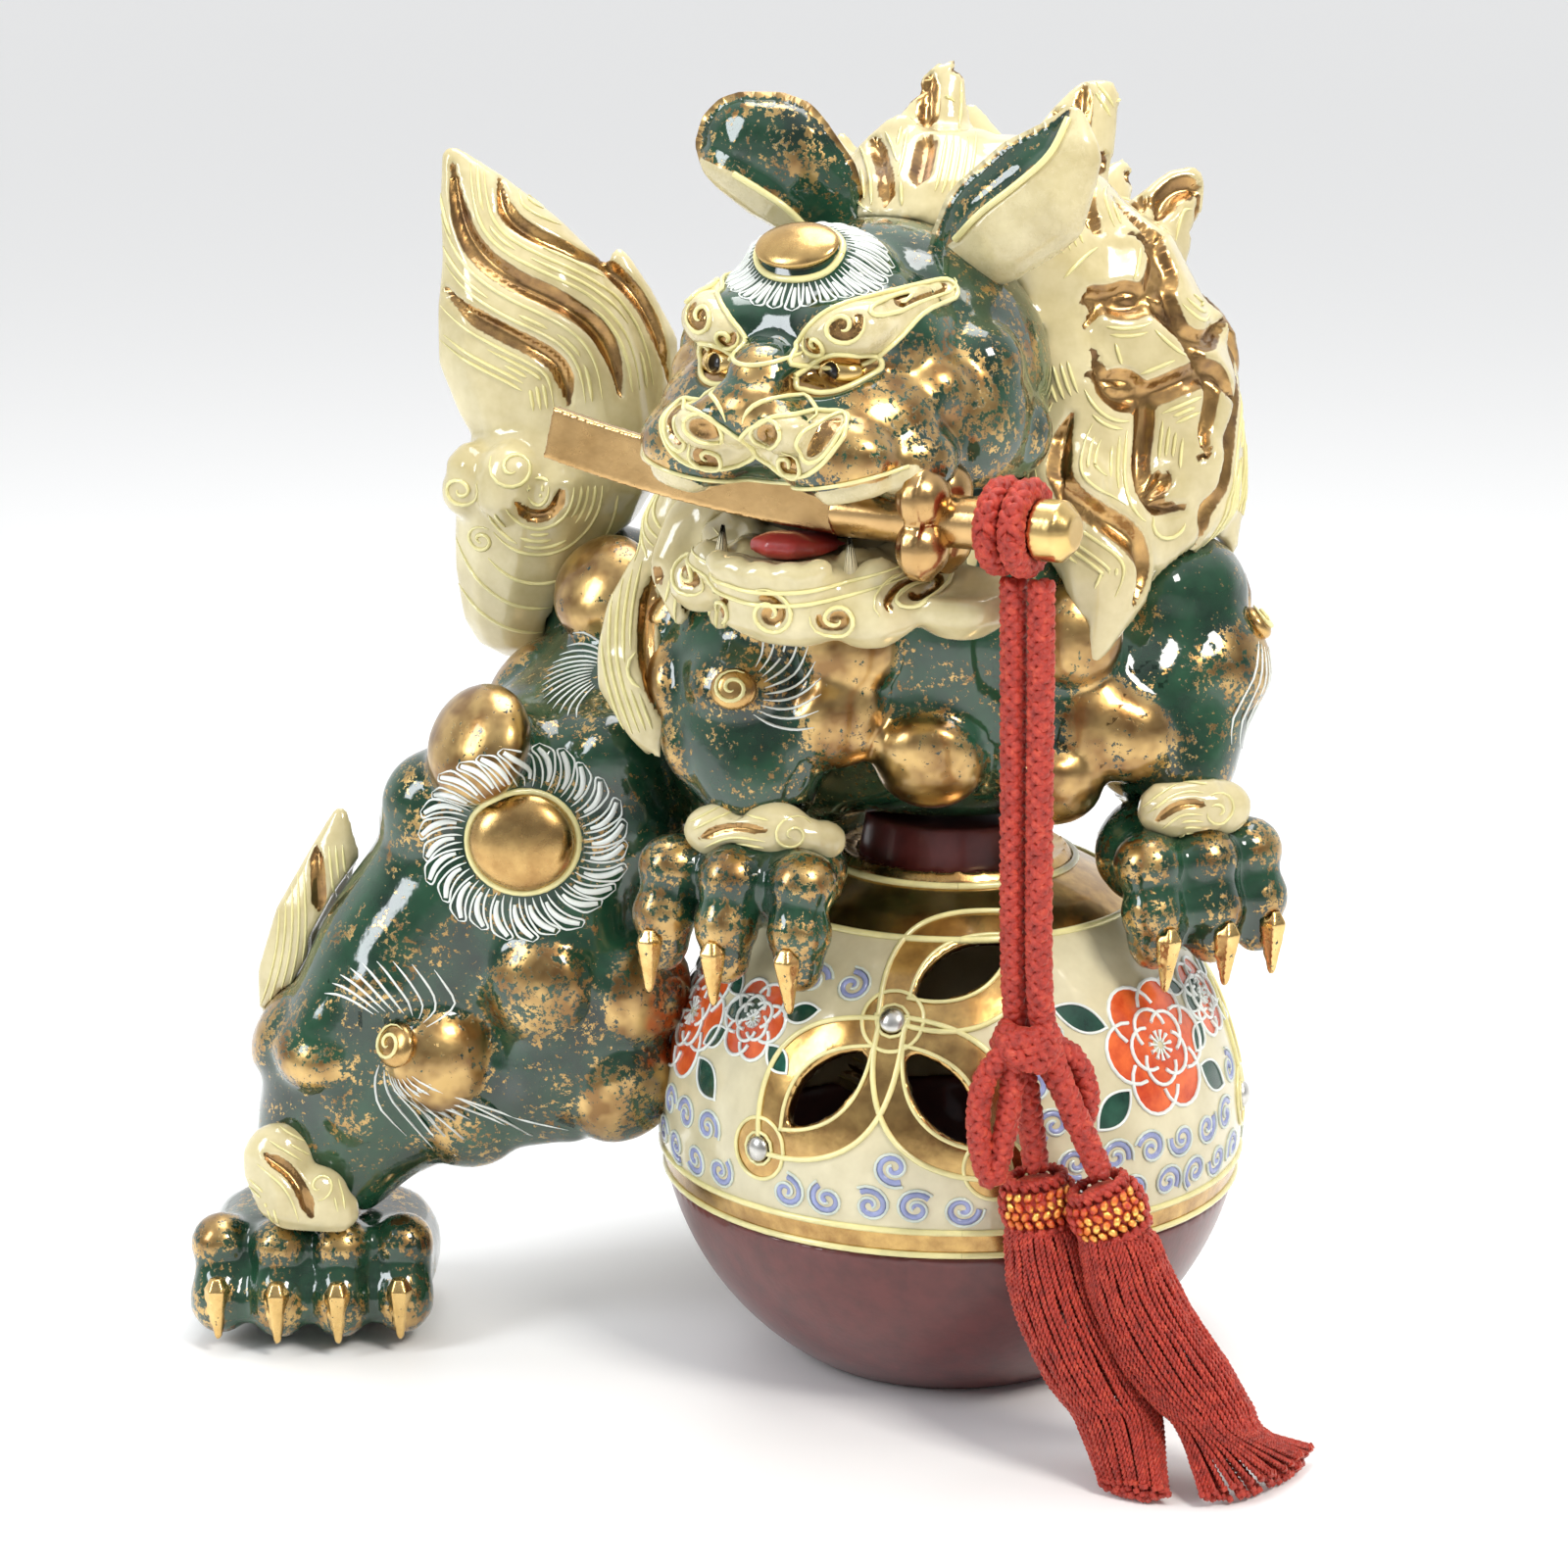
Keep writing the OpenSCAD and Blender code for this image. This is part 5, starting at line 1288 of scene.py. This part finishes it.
def creamPiece(name, names, voxel, rounds, views, extra=None, lineSize=0.5):
    # A smooth mass of hair with hollowed locks, brown gold in the hollows and slip lines that follow them.
    # Each view is a flat drawing, laid on level from an azimuth; 0 is the front.
    bm = nodesTogether(names)
    if extra:
        extra(bm)
    obj = blended(meshFromBmesh(name + "_skin", bm), voxel, rounds, 0.7)
    tree = treeOf(obj)
    coords = coordsOf(obj)
    groove = np.zeros(len(coords))
    push = np.zeros(len(coords))
    hollows, marks = [], []
    for azimuth, strokes, curls, thin in views:
        a = math.radians(azimuth)
        across, look = Vector((math.cos(a), math.sin(a), 0)), Vector((-math.sin(a), math.cos(a), 0))

        def onto(flat, lift=0.0):
            return runsOn([across * h * mm + v3(0, 0, z) for h, z in flat], tree, lift, look)

        def hollow(run, width, deep, ends):
            away, along = distanceTo(coords, run)
            ease = np.minimum(1, np.minimum(along, 1 - along) * 5 + ends)
            k = np.clip(1 - (away / mm) / (width / 2 * ease + 0.01), 0, 1)
            groove[:] = np.maximum(groove, np.clip(k * 2.2, 0, 1))
            push[:] = np.maximum(push, deep * k * k * (3 - 2 * k))
            hollows.append((width * 0.8, np.array([tuple(p) for p in run])))

        for width, deep, points in strokes:
            for run in onto(rounded(points)):
                hollow(run, width, deep, 0.22)
        for center, size, start, hand in curls:
            marks += [(run, lineSize * 1.2) for run in onto(curlOutline(center, size, start, hand, 1.6), 0.1)]
        for gap in (1.0, 2.7, 4.4, 6.2, 8.0):
            for width, deep, points in strokes:
                for side in (-1, 1):
                    marks += [(run, lineSize) for run in onto(offsetStroke(rounded(points),
                                                                           side * (width / 2 + gap)), 0.1)]
        marks += [(run, lineSize) for points in thin for run in onto(rounded(points), 0.1)]
    taken, lines = set(), []
    for run, size in marks:
        lines += [(part, taper(len(part), size)) for part in clearOf(run, hollows, taken) if len(part) > 5]
    moveAlong(obj, -push)
    setAttribute(obj, "groove", groove)
    finishPiece(obj, "statue", glaze["cream"], names)
    print(name, len(obj.data.vertices), "lines", len(lines))
    slipLines(name + "_slip_lines", lines, "line", 0)
    return obj


def lockFan(azimuth, heart, locks, curlSize):
    # Locks that fan out from a heart: each is (angle, from, to, bend), and every other one ends in a curl.
    strokes, curls, thin = [], [], []
    for i, (angle, near, far, bend) in enumerate(locks):
        way = (math.cos(math.radians(angle)), math.sin(math.radians(angle)))
        start = (heart[0] + way[0] * near, heart[1] + way[1] * near)
        finish = (heart[0] + way[0] * far, heart[1] + way[1] * far)
        strokes.append((8.4 - 1.8 * (i % 2), 3.0, swayed(start, finish, bend, 1.9, 13)))
        if i % 2:
            curls.append(((finish[0] + way[1] * bend * 0.9, finish[1] - way[0] * bend * 0.9), curlSize,
                          math.radians(angle), 1 if bend > 0 else -1))
    return azimuth, strokes, curls, thin


crownLocks = [(86, 32, 60, -5), (60, 24, 58, 7), (32, 12, 50, -7), (4, 9, 46, 7), (-26, 12, 50, -7),
              (-50, 14, 54, 7), (-74, 20, 66, -7)]
hangingLocks = [(-130, 30, 66, 5), (-116, 18, 92, -6), (-103, 26, 104, 7), (-90, 14, 96, -7), (-77, 26, 106, 7),
                (-64, 18, 90, -6), (-50, 30, 66, 5), (60, 2, 26, 4), (120, 2, 26, -4)]
creamPiece("mane", ["mane_back", "mane_side", "mane_crest", "mane_cheek_locks", "mane_throat_lock"], 1.35, 7,
           [lockFan(0, (20, 262), crownLocks, 8), lockFan(90, (4, 306), hangingLocks, 7),
            lockFan(180, (10, 308), hangingLocks, 7), lockFan(270, (-14, 304), hangingLocks, 7),
            (0, [(7, 2.6, swayed((-8, 323), (-11, 295), 2)), (6, 2.4, swayed((30, 318), (22, 292), 3)),
                 (5.5, 2.2, swayed((52, 306), (44, 286), -3)), (5, 2, swayed((-24, 308), (-18, 290), 2))], [],
             []),
            (0, [(5.5, 2.2, swayed((-72, 205), (-70, 168), -4)),
                 (4.5, 1.8, swayed((-63, 204), (-60, 182), -3))], [((-74, 180), 6.5, 1.0, 1)], [])])

# The tail flows in one sweep from its tip to the bowl, whose folds are nested half ovals.
tailFlow = swayed((-127, 292), (-86, 234), -7, 1.9, 13)


def tailDrawing():
    strokes = [(7.5 - abs(k) * 0.12, 2.4, offsetStroke(tailFlow, k)) for k in (-12, 1, 13)]
    folds = [ovalArc((-104, 214), 9 + 5.5 * k, 12 + 7 * k, -8, -160) for k in range(5)]
    strokes.append((4.2, 1.6, ovalArc((-104, 214), 6, 8, 0, -150)))
    curls = [((-110, 219), 7, 1.5, 1), ((-124, 212), 5, 0.5, -1), ((-119, 199), 4, 1.0, 1)]
    return strokes, curls, folds


def turnedRound(points):
    return [(-h, z) for h, z in points]


strokes, curls, folds = tailDrawing()
tailViews = [(0, strokes, curls, folds),
             (180, [(w, d, turnedRound(p)) for w, d, p in strokes],
              [((-c[0], c[1]), size, start, -hand) for c, size, start, hand in curls],
              [turnedRound(p) for p in folds])]


def tailShapes(bm):
    for at, radii in (((-111, 38, 216), (8.5, 8, 8.5)), ((-122, 45, 211), (7.5, 7, 7.5))):
        addBall(bm, v3(*at), radii, None, 3)


def tuftShapes(bm):
    # Fuller clouds over the wrists and ankles.
    for at, radii in (((-58, -45, 145), (8, 5.5, 6.5)), ((-44, -49, 146), (9, 5.5, 7)),
                      ((-33, -47, 143), (6, 5, 5)), ((50, -39, 148), (8, 6, 6.5)), ((62, -35, 148), (8, 6, 7)),
                      ((-169, -10, 50), (9, 7, 10)), ((-160, -13, 42), (9, 6, 8)), ((-26, 67, 47), (9, 6, 8)),
                      ((-14, 68, 42), (8, 6, 7))):
        addBall(bm, v3(*at), radii, None, 3)


creamPiece("tail", ["tail_bowl", "tail_plume", "tail_side_flame"], 1.1, 9, tailViews, tailShapes)
creamPiece("tufts", ["wrist_tufts", "ankle_tufts", "hock_flame"], 0.9, 6,
           [(0, [(3, 1.2, swayed((-62, 144), (-46, 147), 2)), (3, 1.2, swayed((46, 147), (58, 151), 2)),
                 (4.5, 1.5, swayed((-172, 54), (-160, 38), 3)), (5, 1.6, swayed((-160, 126), (-167, 76), 4)),
                 (3.2, 1.2, swayed((-28, 52), (-16, 42), 2))],
             [((-40, 146), 5, 0.5, 1), ((61, 149), 5, 2.5, -1), ((-158, 46), 5.5, 1.0, 1),
              ((-168, 84), 5, 0.4, -1)], []),
            (180, [(4.5, 1.5, swayed((160, 120), (168, 76), 4)), (4, 1.4, swayed((16, 112), (14, 74), 3))],
             [((18, 46), 4.5, 1.0, 1)], [])], tuftShapes, 0.36)

print("ears")


def earPiece(name, beads, rim, upper, node):
    # An ear swells and tapers along its spine. On one side of the rim line it is a green hollow.
    spine = [(inHead(x, y, z), r) for x, y, z, r in beads]
    bm = bmesh.new()
    for (a, ar), (b, br) in zip(spine, spine[1:]):
        for k in range(5):
            t = k / 4
            r = ar + (br - ar) * t
            addBall(bm, a.lerp(b, t), (r, r * 0.52, r), headTurn, 2)
    ear = blended(meshFromBmesh(name, bm), 0.85, 8, 0.6)
    tree = treeOf(ear)
    coords = coordsOf(ear)
    flat = coords[:, [0, 2]] / mm
    best = np.full(len(flat), 1e9)
    beside = np.zeros(len(flat))
    for (a, ar), (b, br) in zip(spine, spine[1:]):
        start, d = np.array([a.x, a.z]) / mm, np.array([b.x - a.x, b.z - a.z]) / mm
        t = np.clip((flat - start) @ d / (d @ d), 0, 1)
        off = flat - start - t[:, None] * d
        away = np.linalg.norm(off, axis=1)
        signed = (d[0] * off[:, 1] - d[1] * off[:, 0]) / np.linalg.norm(d) * upper
        closer = away < best
        best[closer] = away[closer]
        beside[closer] = (signed - rim * (ar + (br - ar) * t))[closer]
    ahead = (normalsOf(ear) @ np.array([0, -1, 0])) > 0.2
    moveAlong(ear, -np.clip((beside + 1.0) / 4, 0, 1) * 1.8 * ahead)
    setAttribute(ear, "cream", np.where(ahead, soft(-beside), 0.0 if rim < 0 else 1.0))
    setAttribute(ear, "gold", np.clip(0.15 + convexity(ear, 18) * 0.6, 0, 1))
    # The ears have no grooves and no painted shade.
    for key in ("groove", "dark"):
        setAttribute(ear, key, np.zeros(len(coords)))
    finishPiece(ear, "statue", glaze["head"], [node])
    edge = []
    for i, (p, r) in enumerate(spine):
        a, b = spine[max(0, i - 1)][0], spine[min(len(spine) - 1, i + 1)][0]
        d = Vector((b.x - a.x, 0, b.z - a.z)).normalized()
        edge.append(p + Vector((-d.z, 0, d.x)) * upper * rim * r * mm)
    points = [seenFrom(p + v3(0, -300, 0), p, tree, 0.3)[0] for p in smoothPath(edge, 6)]
    slipLines(name + "_line", [(points, 0.85)], "line", 2)


earPiece("ear_right_skin", [(-15, 14, 34, 9), (-21, 12, 44, 13.5), (-28, 9, 51, 16), (-36, 6, 54, 13)], -0.5,
         -1, "ear_right")
earPiece("ear_left_skin", [(22, 6, 33, 9), (29, 7, 38, 14), (38, 9, 45, 15), (45, 10, 54, 10),
                           (47, 11, 63, 3.5)], 0.35, 1, "ear_left")

print("claws, disc and whorls")


def copiedPiece(name, names, voxel, rounds, material, body="statue"):
    obj = blended(meshFromBmesh(name, nodesTogether(names)), voxel, rounds, 0.5)
    return finishPiece(obj, body, material, names)


def clawBlades(node):
    # The node's claws, each filled out to a broad pointed blade.
    bm = nodesTogether([node])
    seen, islands = set(), []
    for first in bm.verts:
        if first in seen:
            continue
        island, queue = [], [first]
        seen.add(first)
        while queue:
            v = queue.pop()
            island.append(v.co.copy())
            for edge in v.link_edges:
                other = edge.other_vert(v)
                if other not in seen:
                    seen.add(other)
                    queue.append(other)
        islands.append(np.array([tuple(c) for c in island]))
    for spots in islands:
        middle = spots.mean(axis=0)
        along = Vector(np.linalg.svd(spots - middle)[2][0])
        along = along if along.z < 0 else -along
        turn = facing(along)
        for k, size in ((-2.5, 3.2), (0.5, 2.9), (3.2, 2.1), (5.4, 1.2)):
            addBall(bm, Vector(middle) + along * k * mm, (size, size * 0.62, 3.0), turn, 2)
    finishPiece(blended(meshFromBmesh(node + "_skin", bm), 0.45, 4, 0.5), "statue", glaze["claw"], [node])


clawBlades("forepaw_claws")
clawBlades("hindfoot_claws")
domedDisc("haunch", bodyTree, v3(-106, -18.5, 135), Vector((-0.1, -1, 0.12)).normalized(), (13.4, 12.4),
          (27, 25), 26, 5.5, "haunch_disc", 0.95, 0.22)

# Whorls: a spiral bead with a fan of slip lines; (place, size, first angle, last angle, count) for each fan.
bm = bmesh.new()
whorlLines, fanLines = [], []
for at, size, fans in (((-138, -21, 84), 6.5, ((50, 130, 9), (230, 310, 9))),
                       ((-54, -48, 180), 5.6, ((-50, 50, 10),)), ((-88, 0, 181), 4.4, ((120, 240, 14),)),
                       ((72, -13, 188), 5, ((200, 300, 9),)),
                       ((-20, 100, 130), 6, ((50, 130, 8), (230, 310, 8)))):
    place, normal, index, distance = bodyTree.find_nearest(v3(*at))
    side = normal.cross(Vector((0, 0, 1))).normalized() * -1
    upward = normal.cross(side).normalized()
    if upward.z < 0:
        upward = -upward
    turn = facing(normal)
    addBall(bm, place + normal * 0.3 * mm, (size, size * 0.9, 2.6), turn, 3)
    eye = place + normal * 0.15

    def spot(a, r, tree, lift):
        return seenFrom(eye, place + side * math.cos(a) * r * mm + upward * math.sin(a) * r * mm, tree, lift)[0]

    for first, last, count in fans:
        for i in range(count):
            a = math.radians(first + (last - first) * i / (count - 1))
            fan = [spot(a + 0.12 * k, size + 1.5 + 3.2 * k, bodyTree, 0.1) for k in range(5)]
            line = smoothPath(fan, 2)
            fanLines.append((line, taper(len(line), 0.34)))
    spiral = []
    for h, z in curlOutline((0, 0), size * 0.86, 1.0, 1, 1.7):
        r = math.hypot(h, z)
        spiral.append(place + side * h * mm + upward * z * mm
                      + normal * (0.5 + 2.6 * math.sqrt(max(0, 1 - (r / size) ** 2))) * mm)
    whorlLines.append((spiral, taper(len(spiral), 0.5)))
finishPiece(meshFromBmesh("whorl_beads", bm), "statue", glaze["gold"], ["whorls"])
slipLines("whorl_spirals", whorlLines)
slipLines("whorl_fans", fanLines, "white", 0)

print("ball")

ballPlan = {"middle": 63, "radius": 73.5, "above": 70.36, "below": 73.6,
            "leaves": ((0.5, 113, 33), (-28, 86, 48), (-4, 86, -52)), "leaf": (27, 11.5),
            "bosses": ((-15.5, 102), (-41, 69), (6, 70)),
            "peonies": ((46, 92, 17), (-50, 97, 10.5)), "band": (48, 54), "collarBand": 118, "rim": 127,
            "scrolls": {"rows": 6, "from": 60, "step": 9.6, "gap": 11, "half": 72, "room": 5.2}}


def ballHalf(z):
    return ballPlan["above"] if z > ballPlan["middle"] else ballPlan["below"]


def onBall(turn, z, across=0.0, up=0.0, lift=0.0):
    # A place on the ball: a turn in degrees from the front, a height, and mm across and up from there.
    half = ballHalf(z)
    s = math.asin((z - ballPlan["middle"]) / half) + up / half
    r = ballPlan["radius"] * math.cos(s)
    a = math.radians(turn) + across / max(r, 20)
    out = Vector((math.sin(a) * math.cos(s), -math.cos(a) * math.cos(s), math.sin(s)))
    return Vector((math.sin(a) * r, -math.cos(a) * r, ballPlan["middle"]
                   + half * math.sin(s))) * mm + out * lift * mm


def ballGlaze():
    # Cream ground with painted gold, orange flowers, lavender scrolls and dark leaves.
    material, tree, shader = newMaterial("ballGlaze", (0.6, 0.53, 0.33), 0.16, 0.0, Coat_Weight=0.5,
                                         Coat_Roughness=0.05)
    coords = addNode(tree, "TexCoord").outputs["Object"]
    color = ramp(tree, objectNoise(tree, 60, 4, 0.6, coords),
                 [(0.3, (0.55, 0.49, 0.31)), (0.7, (0.72, 0.66, 0.45))])
    metal = None
    for key, low, high in (("gold", (0.30, 0.16, 0.05), (0.66, 0.43, 0.15)),
                           ("peony", (0.52, 0.045, 0.012), (0.85, 0.17, 0.04)),
                           ("leaf", (0.005, 0.03, 0.02), (0.02, 0.09, 0.055))):
        zone = ramp(tree, addNode(tree, "Attribute", attribute_name=key).outputs["Fac"],
                    [(0.44, 0.0), (0.56, 1.0)])
        color = mixColor(tree, zone, color, ramp(tree, objectNoise(tree, 150, 4, 0.6, coords),
                                                 [(0.3, low), (0.7, high)]))
        metal = metal or zone
    tree.links.new(color, shader.inputs["Base Color"])
    tree.links.new(metal, shader.inputs["Metallic"])
    tree.links.new(ramp(tree, metal, [(0.0, 0.15), (1.0, 0.27)]), shader.inputs["Roughness"])
    addBump(tree, shader, objectNoise(tree, 320, 2, 0.5, coords), 0.12, 0.0004)
    return material


cover = blended(meshFromBmesh("ball_cover_skin", nodesTogether(["ball_cover"])), 1.15, 2, 0.4)
coords = coordsOf(cover) / mm
outer = np.linalg.norm(coords - np.array([0, 0, ballPlan["middle"]]), axis=1) > 69
angle = np.arctan2(coords[:, 0], -coords[:, 1])
upward = coords[:, 2] - ballPlan["middle"]
steep = np.arcsin(np.clip(upward / np.where(upward > 0, ballPlan["above"], ballPlan["below"]), -1, 1))
zones = {key: np.zeros(len(coords)) for key in ("gold", "peony", "leaf")}
paint = {"line": [], "white": [], "paleLine": [], "lavender": []}


def ballFlat(turn, z):
    # Each vertex in mm across and up from a place on the ball.
    half = ballHalf(z)
    off = (angle - math.radians(turn) + math.pi) % (2 * math.pi) - math.pi
    return np.stack([off * ballPlan["radius"] * np.cos(steep),
                     (steep - math.asin((z - ballPlan["middle"]) / half)) * half], axis=1)


def onBallStroke(turn, z, points, lift=0.15):
    return [onBall(turn, z, h, up, lift) for h, up in points]


def lensOutline(center, length, width, lean):
    a = math.radians(lean)
    out = []
    for side in (1, -1):
        for i in range(9):
            x = side * length * (i / 8 - 0.5)
            y = side * width / 2 * (1 - (2 * x / length) ** 2)
            out.append((center[0] + x * math.cos(a) - y * math.sin(a),
                        center[1] + x * math.sin(a) + y * math.cos(a)))
    return out


def paintZone(key, turn, z, outline, edge=None, size=0.42):
    zones[key] = np.maximum(zones[key], soft(insideBy(ballFlat(turn, z), outline), 1.2) * outer)
    if edge:
        paint[edge].append((onBallStroke(turn, z, rounded(outline, True)), size))


bosses = bmesh.new()
for third in (0, 120, 240):
    for turn, z, lean in ballPlan["leaves"]:
        long, wide = ballPlan["leaf"]
        paintZone("gold", turn + third, z, lensOutline((0, 0), long + 22, wide + 19, lean), "line", 0.7)
        paint["line"].append((onBallStroke(turn + third, z,
                                           rounded(lensOutline((0, 0), long + 4, wide + 3, lean), True)), 0.5))
    for turn, z, size in ballPlan["peonies"]:
        for ring, reach, petal in ((0, 0.56, 0.44), (1, 0.26, 0.3)):
            for i in range(6 - ring):
                a = 360 / (6 - ring) * (i + 0.5 * ring)
                center = (math.cos(math.radians(a)) * size * reach, math.sin(math.radians(a)) * size * reach)
                if not ring:
                    paintZone("peony", turn + third, z, ovalOutline(center, size * petal, size * petal))
                paint["white"].append((onBallStroke(turn + third, z,
                                                    ovalArc(center, size * petal, size * petal, a - 105,
                                                            a + 105)), 0.5))
        for i in range(11):
            a = 2 * math.pi * i / 11
            stem = [(math.cos(a) * size * k, math.sin(a) * size * k) for k in (0.06, 0.14, 0.22)]
            paint["white"].append((onBallStroke(turn + third, z, stem), [0.25, 0.3, 0.6]))
        for a in (20, 150, 215, 325):
            center = (math.cos(math.radians(a)) * size * 1.36, math.sin(math.radians(a)) * size * 1.25)
            paintZone("leaf", turn + third, z, lensOutline(center, size * 0.62 + 3, size * 0.3 + 2, a), "white",
                      0.36)
    for turn, z in ballPlan["bosses"]:
        paintZone("gold", turn + third, z, ovalOutline((0, 0), 7.5, 7.5), "line", 0.5)
    for turn, z in ballPlan["bosses"]:
        out = (onBall(turn + third, z, lift=1) - onBall(turn + third, z)).normalized()
        addBall(bosses, onBall(turn + third, z, lift=0.4), (3.2, 3.2, 1.8), facing(out), 3)
        paint["line"].append((onBallStroke(turn + third, z, ovalArc((0, 0), 4, 4, 0, 360)), 0.45))
# Scrolls fill what is left of the ground.
painted = np.maximum.reduce([zones[key] for key in ("gold", "peony", "leaf")])
scrolls = ballPlan["scrolls"]
for row in range(scrolls["rows"]):
    z = scrolls["from"] + row * scrolls["step"]
    girth = 2 * math.pi * ballPlan["radius"] * math.sqrt(1 - ((z - ballPlan["middle"]) / scrolls["half"]) ** 2)
    count = round(girth / scrolls["gap"])
    for i in range(count):
        turn = 360 * (i + 0.5 * (row % 2)) / count
        near = np.linalg.norm(ballFlat(turn, z), axis=1) < scrolls["room"]
        if (painted[near & outer] > 0.5).any() or not (near & outer).any():
            continue
        start, hand = random.uniform(0, 6), 1 if i % 2 else -1
        paint["lavender"].append((onBallStroke(turn, z, curlOutline((0, 0), 4.1, start, hand, 1.4), -0.35),
                                  0.85))
        paint["paleLine"].append((onBallStroke(turn, z, curlOutline((0, 0), 5.4, start, hand, 1.5)), 0.4))
for low, high in (ballPlan["band"], (ballPlan["collarBand"], 140)):
    zones["gold"] = np.maximum(zones["gold"], soft(np.minimum(coords[:, 2] - low, high - coords[:, 2]), 1.2)
                               * outer)
for z, size in ((ballPlan["band"][0], 0.8), (ballPlan["band"][1], 0.8), (ballPlan["collarBand"], 0.9),
                (ballPlan["rim"], 1.0)):
    paint["line"].append(([onBall(i * 5, z, lift=0.1) for i in range(73)], size))
for key, values in zones.items():
    setAttribute(cover, key, values)
finishPiece(cover, "statue", ballGlaze(), ["ball_cover"])
for key, lines in paint.items():
    slipLines("ball_" + key, lines, key, 1)
finishPiece(meshFromBmesh("ball_boss_domes", bosses), "statue", glaze["boss"], ["ball_bosses"])
copiedPiece("ball_bowl_skin", ["ball_bowl"], 1.5, 3, glaze["maroon"])
copiedPiece("ball_collar_skin", ["ball_collar"], 0.7, 3, glaze["gold"])
copiedPiece("ball_crown_skin", ["ball_crown"], 1.1, 4, glaze["maroon"])

print("sword")

swordAlong = Vector(swordPlan["along"])
swordAcross = Vector(swordPlan["across"])
for node, rounds, look in (("sword_blade", 4, "sword"), ("sword_ferrule", 4, "sword"),
                           ("sword_grip", 4, "sword"),
                           ("sword_pommel", 3, "brightGold")):
    copiedPiece(node + "_skin", [node], 0.5, rounds, glaze[look], "sword")
bm = nodesTogether(["sword_guard"])
guardAt = v3(*swordPlan["guard"])
turn = Matrix((swordAlong, swordAcross, Vector((0, 0, 1)))).transposed().to_4x4()
for a in (45, 135, 225, 315):
    addBall(bm, guardAt, (6, 8, 8), turn, 3)
    addBall(bm, guardAt + (swordAcross * math.cos(math.radians(a))
                           + Vector((0, 0, 1)) * math.sin(math.radians(a))) * 8.0 * mm, (6.2, 7.0, 7.0), turn,
            3)
finishPiece(blended(meshFromBmesh("sword_guard_skin", bm), 0.55, 6, 0.6), "sword", glaze["sword"],
            ["sword_guard"])

print("floor and light")

floorMesh = bmesh.new()
bmesh.ops.create_grid(floorMesh, x_segments=2, y_segments=2, size=12.0)
floor = meshFromBmesh("floor", floorMesh)
floorGlaze, tree, shader = newMaterial("paleFloor", (0.93, 0.93, 0.925), 0.42)
addBump(tree, shader, objectNoise(tree, 40, 3), 0.02, 0.001)
floor.data.materials.append(floorGlaze)

world = bpy.data.worlds.new("studio")
bpy.context.scene.world = world
world.use_nodes = True
# A pale room, darker in front, so that gold and glaze have something dark to reflect.
tree = world.node_tree
direction = addNode(tree, "SeparateXYZ", {"Vector": addNode(tree, "TexCoord").outputs["Object"]})
height = ramp(tree, math2(tree, "ADD", math2(tree, "MULTIPLY", direction.outputs["Z"], 0.5), 0.5),
              [(0.45, (0.95, 0.95, 0.95)), (0.56, (0.26, 0.26, 0.27)), (0.78, (0.38, 0.385, 0.40)),
               (0.95, (0.9, 0.92, 0.95))])
behind = ramp(tree, math2(tree, "ADD", math2(tree, "MULTIPLY", direction.outputs["Y"], 0.5), 0.5),
              [(0.45, 0.0), (0.7, 1.0)])
tree.links.new(mixColor(tree, behind, height, (1.0, 1.0, 1.0)), tree.nodes["Background"].inputs[0])
tree.nodes["Background"].inputs[1].default_value = 1.0
bpy.context.scene.view_settings.view_transform = "Standard"


def softLight(name, place, aim, size, power, color=(1, 1, 1)):
    data = bpy.data.lights.new(name, "AREA")
    data.shape = "RECTANGLE"
    data.size, data.size_y = size
    data.energy = power
    data.color = color
    light = bpy.data.objects.new(name, data)
    light.location = Vector(place)
    light.rotation_euler = (Vector(aim) - Vector(place)).to_track_quat("-Z", "Y").to_euler()
    bpy.context.scene.collection.objects.link(light)


middle = (-0.04, 0.0, 0.14)
softLight("key", (0.55, -0.75, 1.05), middle, (0.35, 0.35), 11, (1.0, 0.96, 0.9))
softLight("side", (-0.95, -0.45, 0.7), middle, (0.3, 0.6), 6, (0.92, 0.96, 1.0))
softLight("top", (0.0, 0.25, 1.3), middle, (0.7, 0.7), 9, (1.0, 1.0, 1.0))
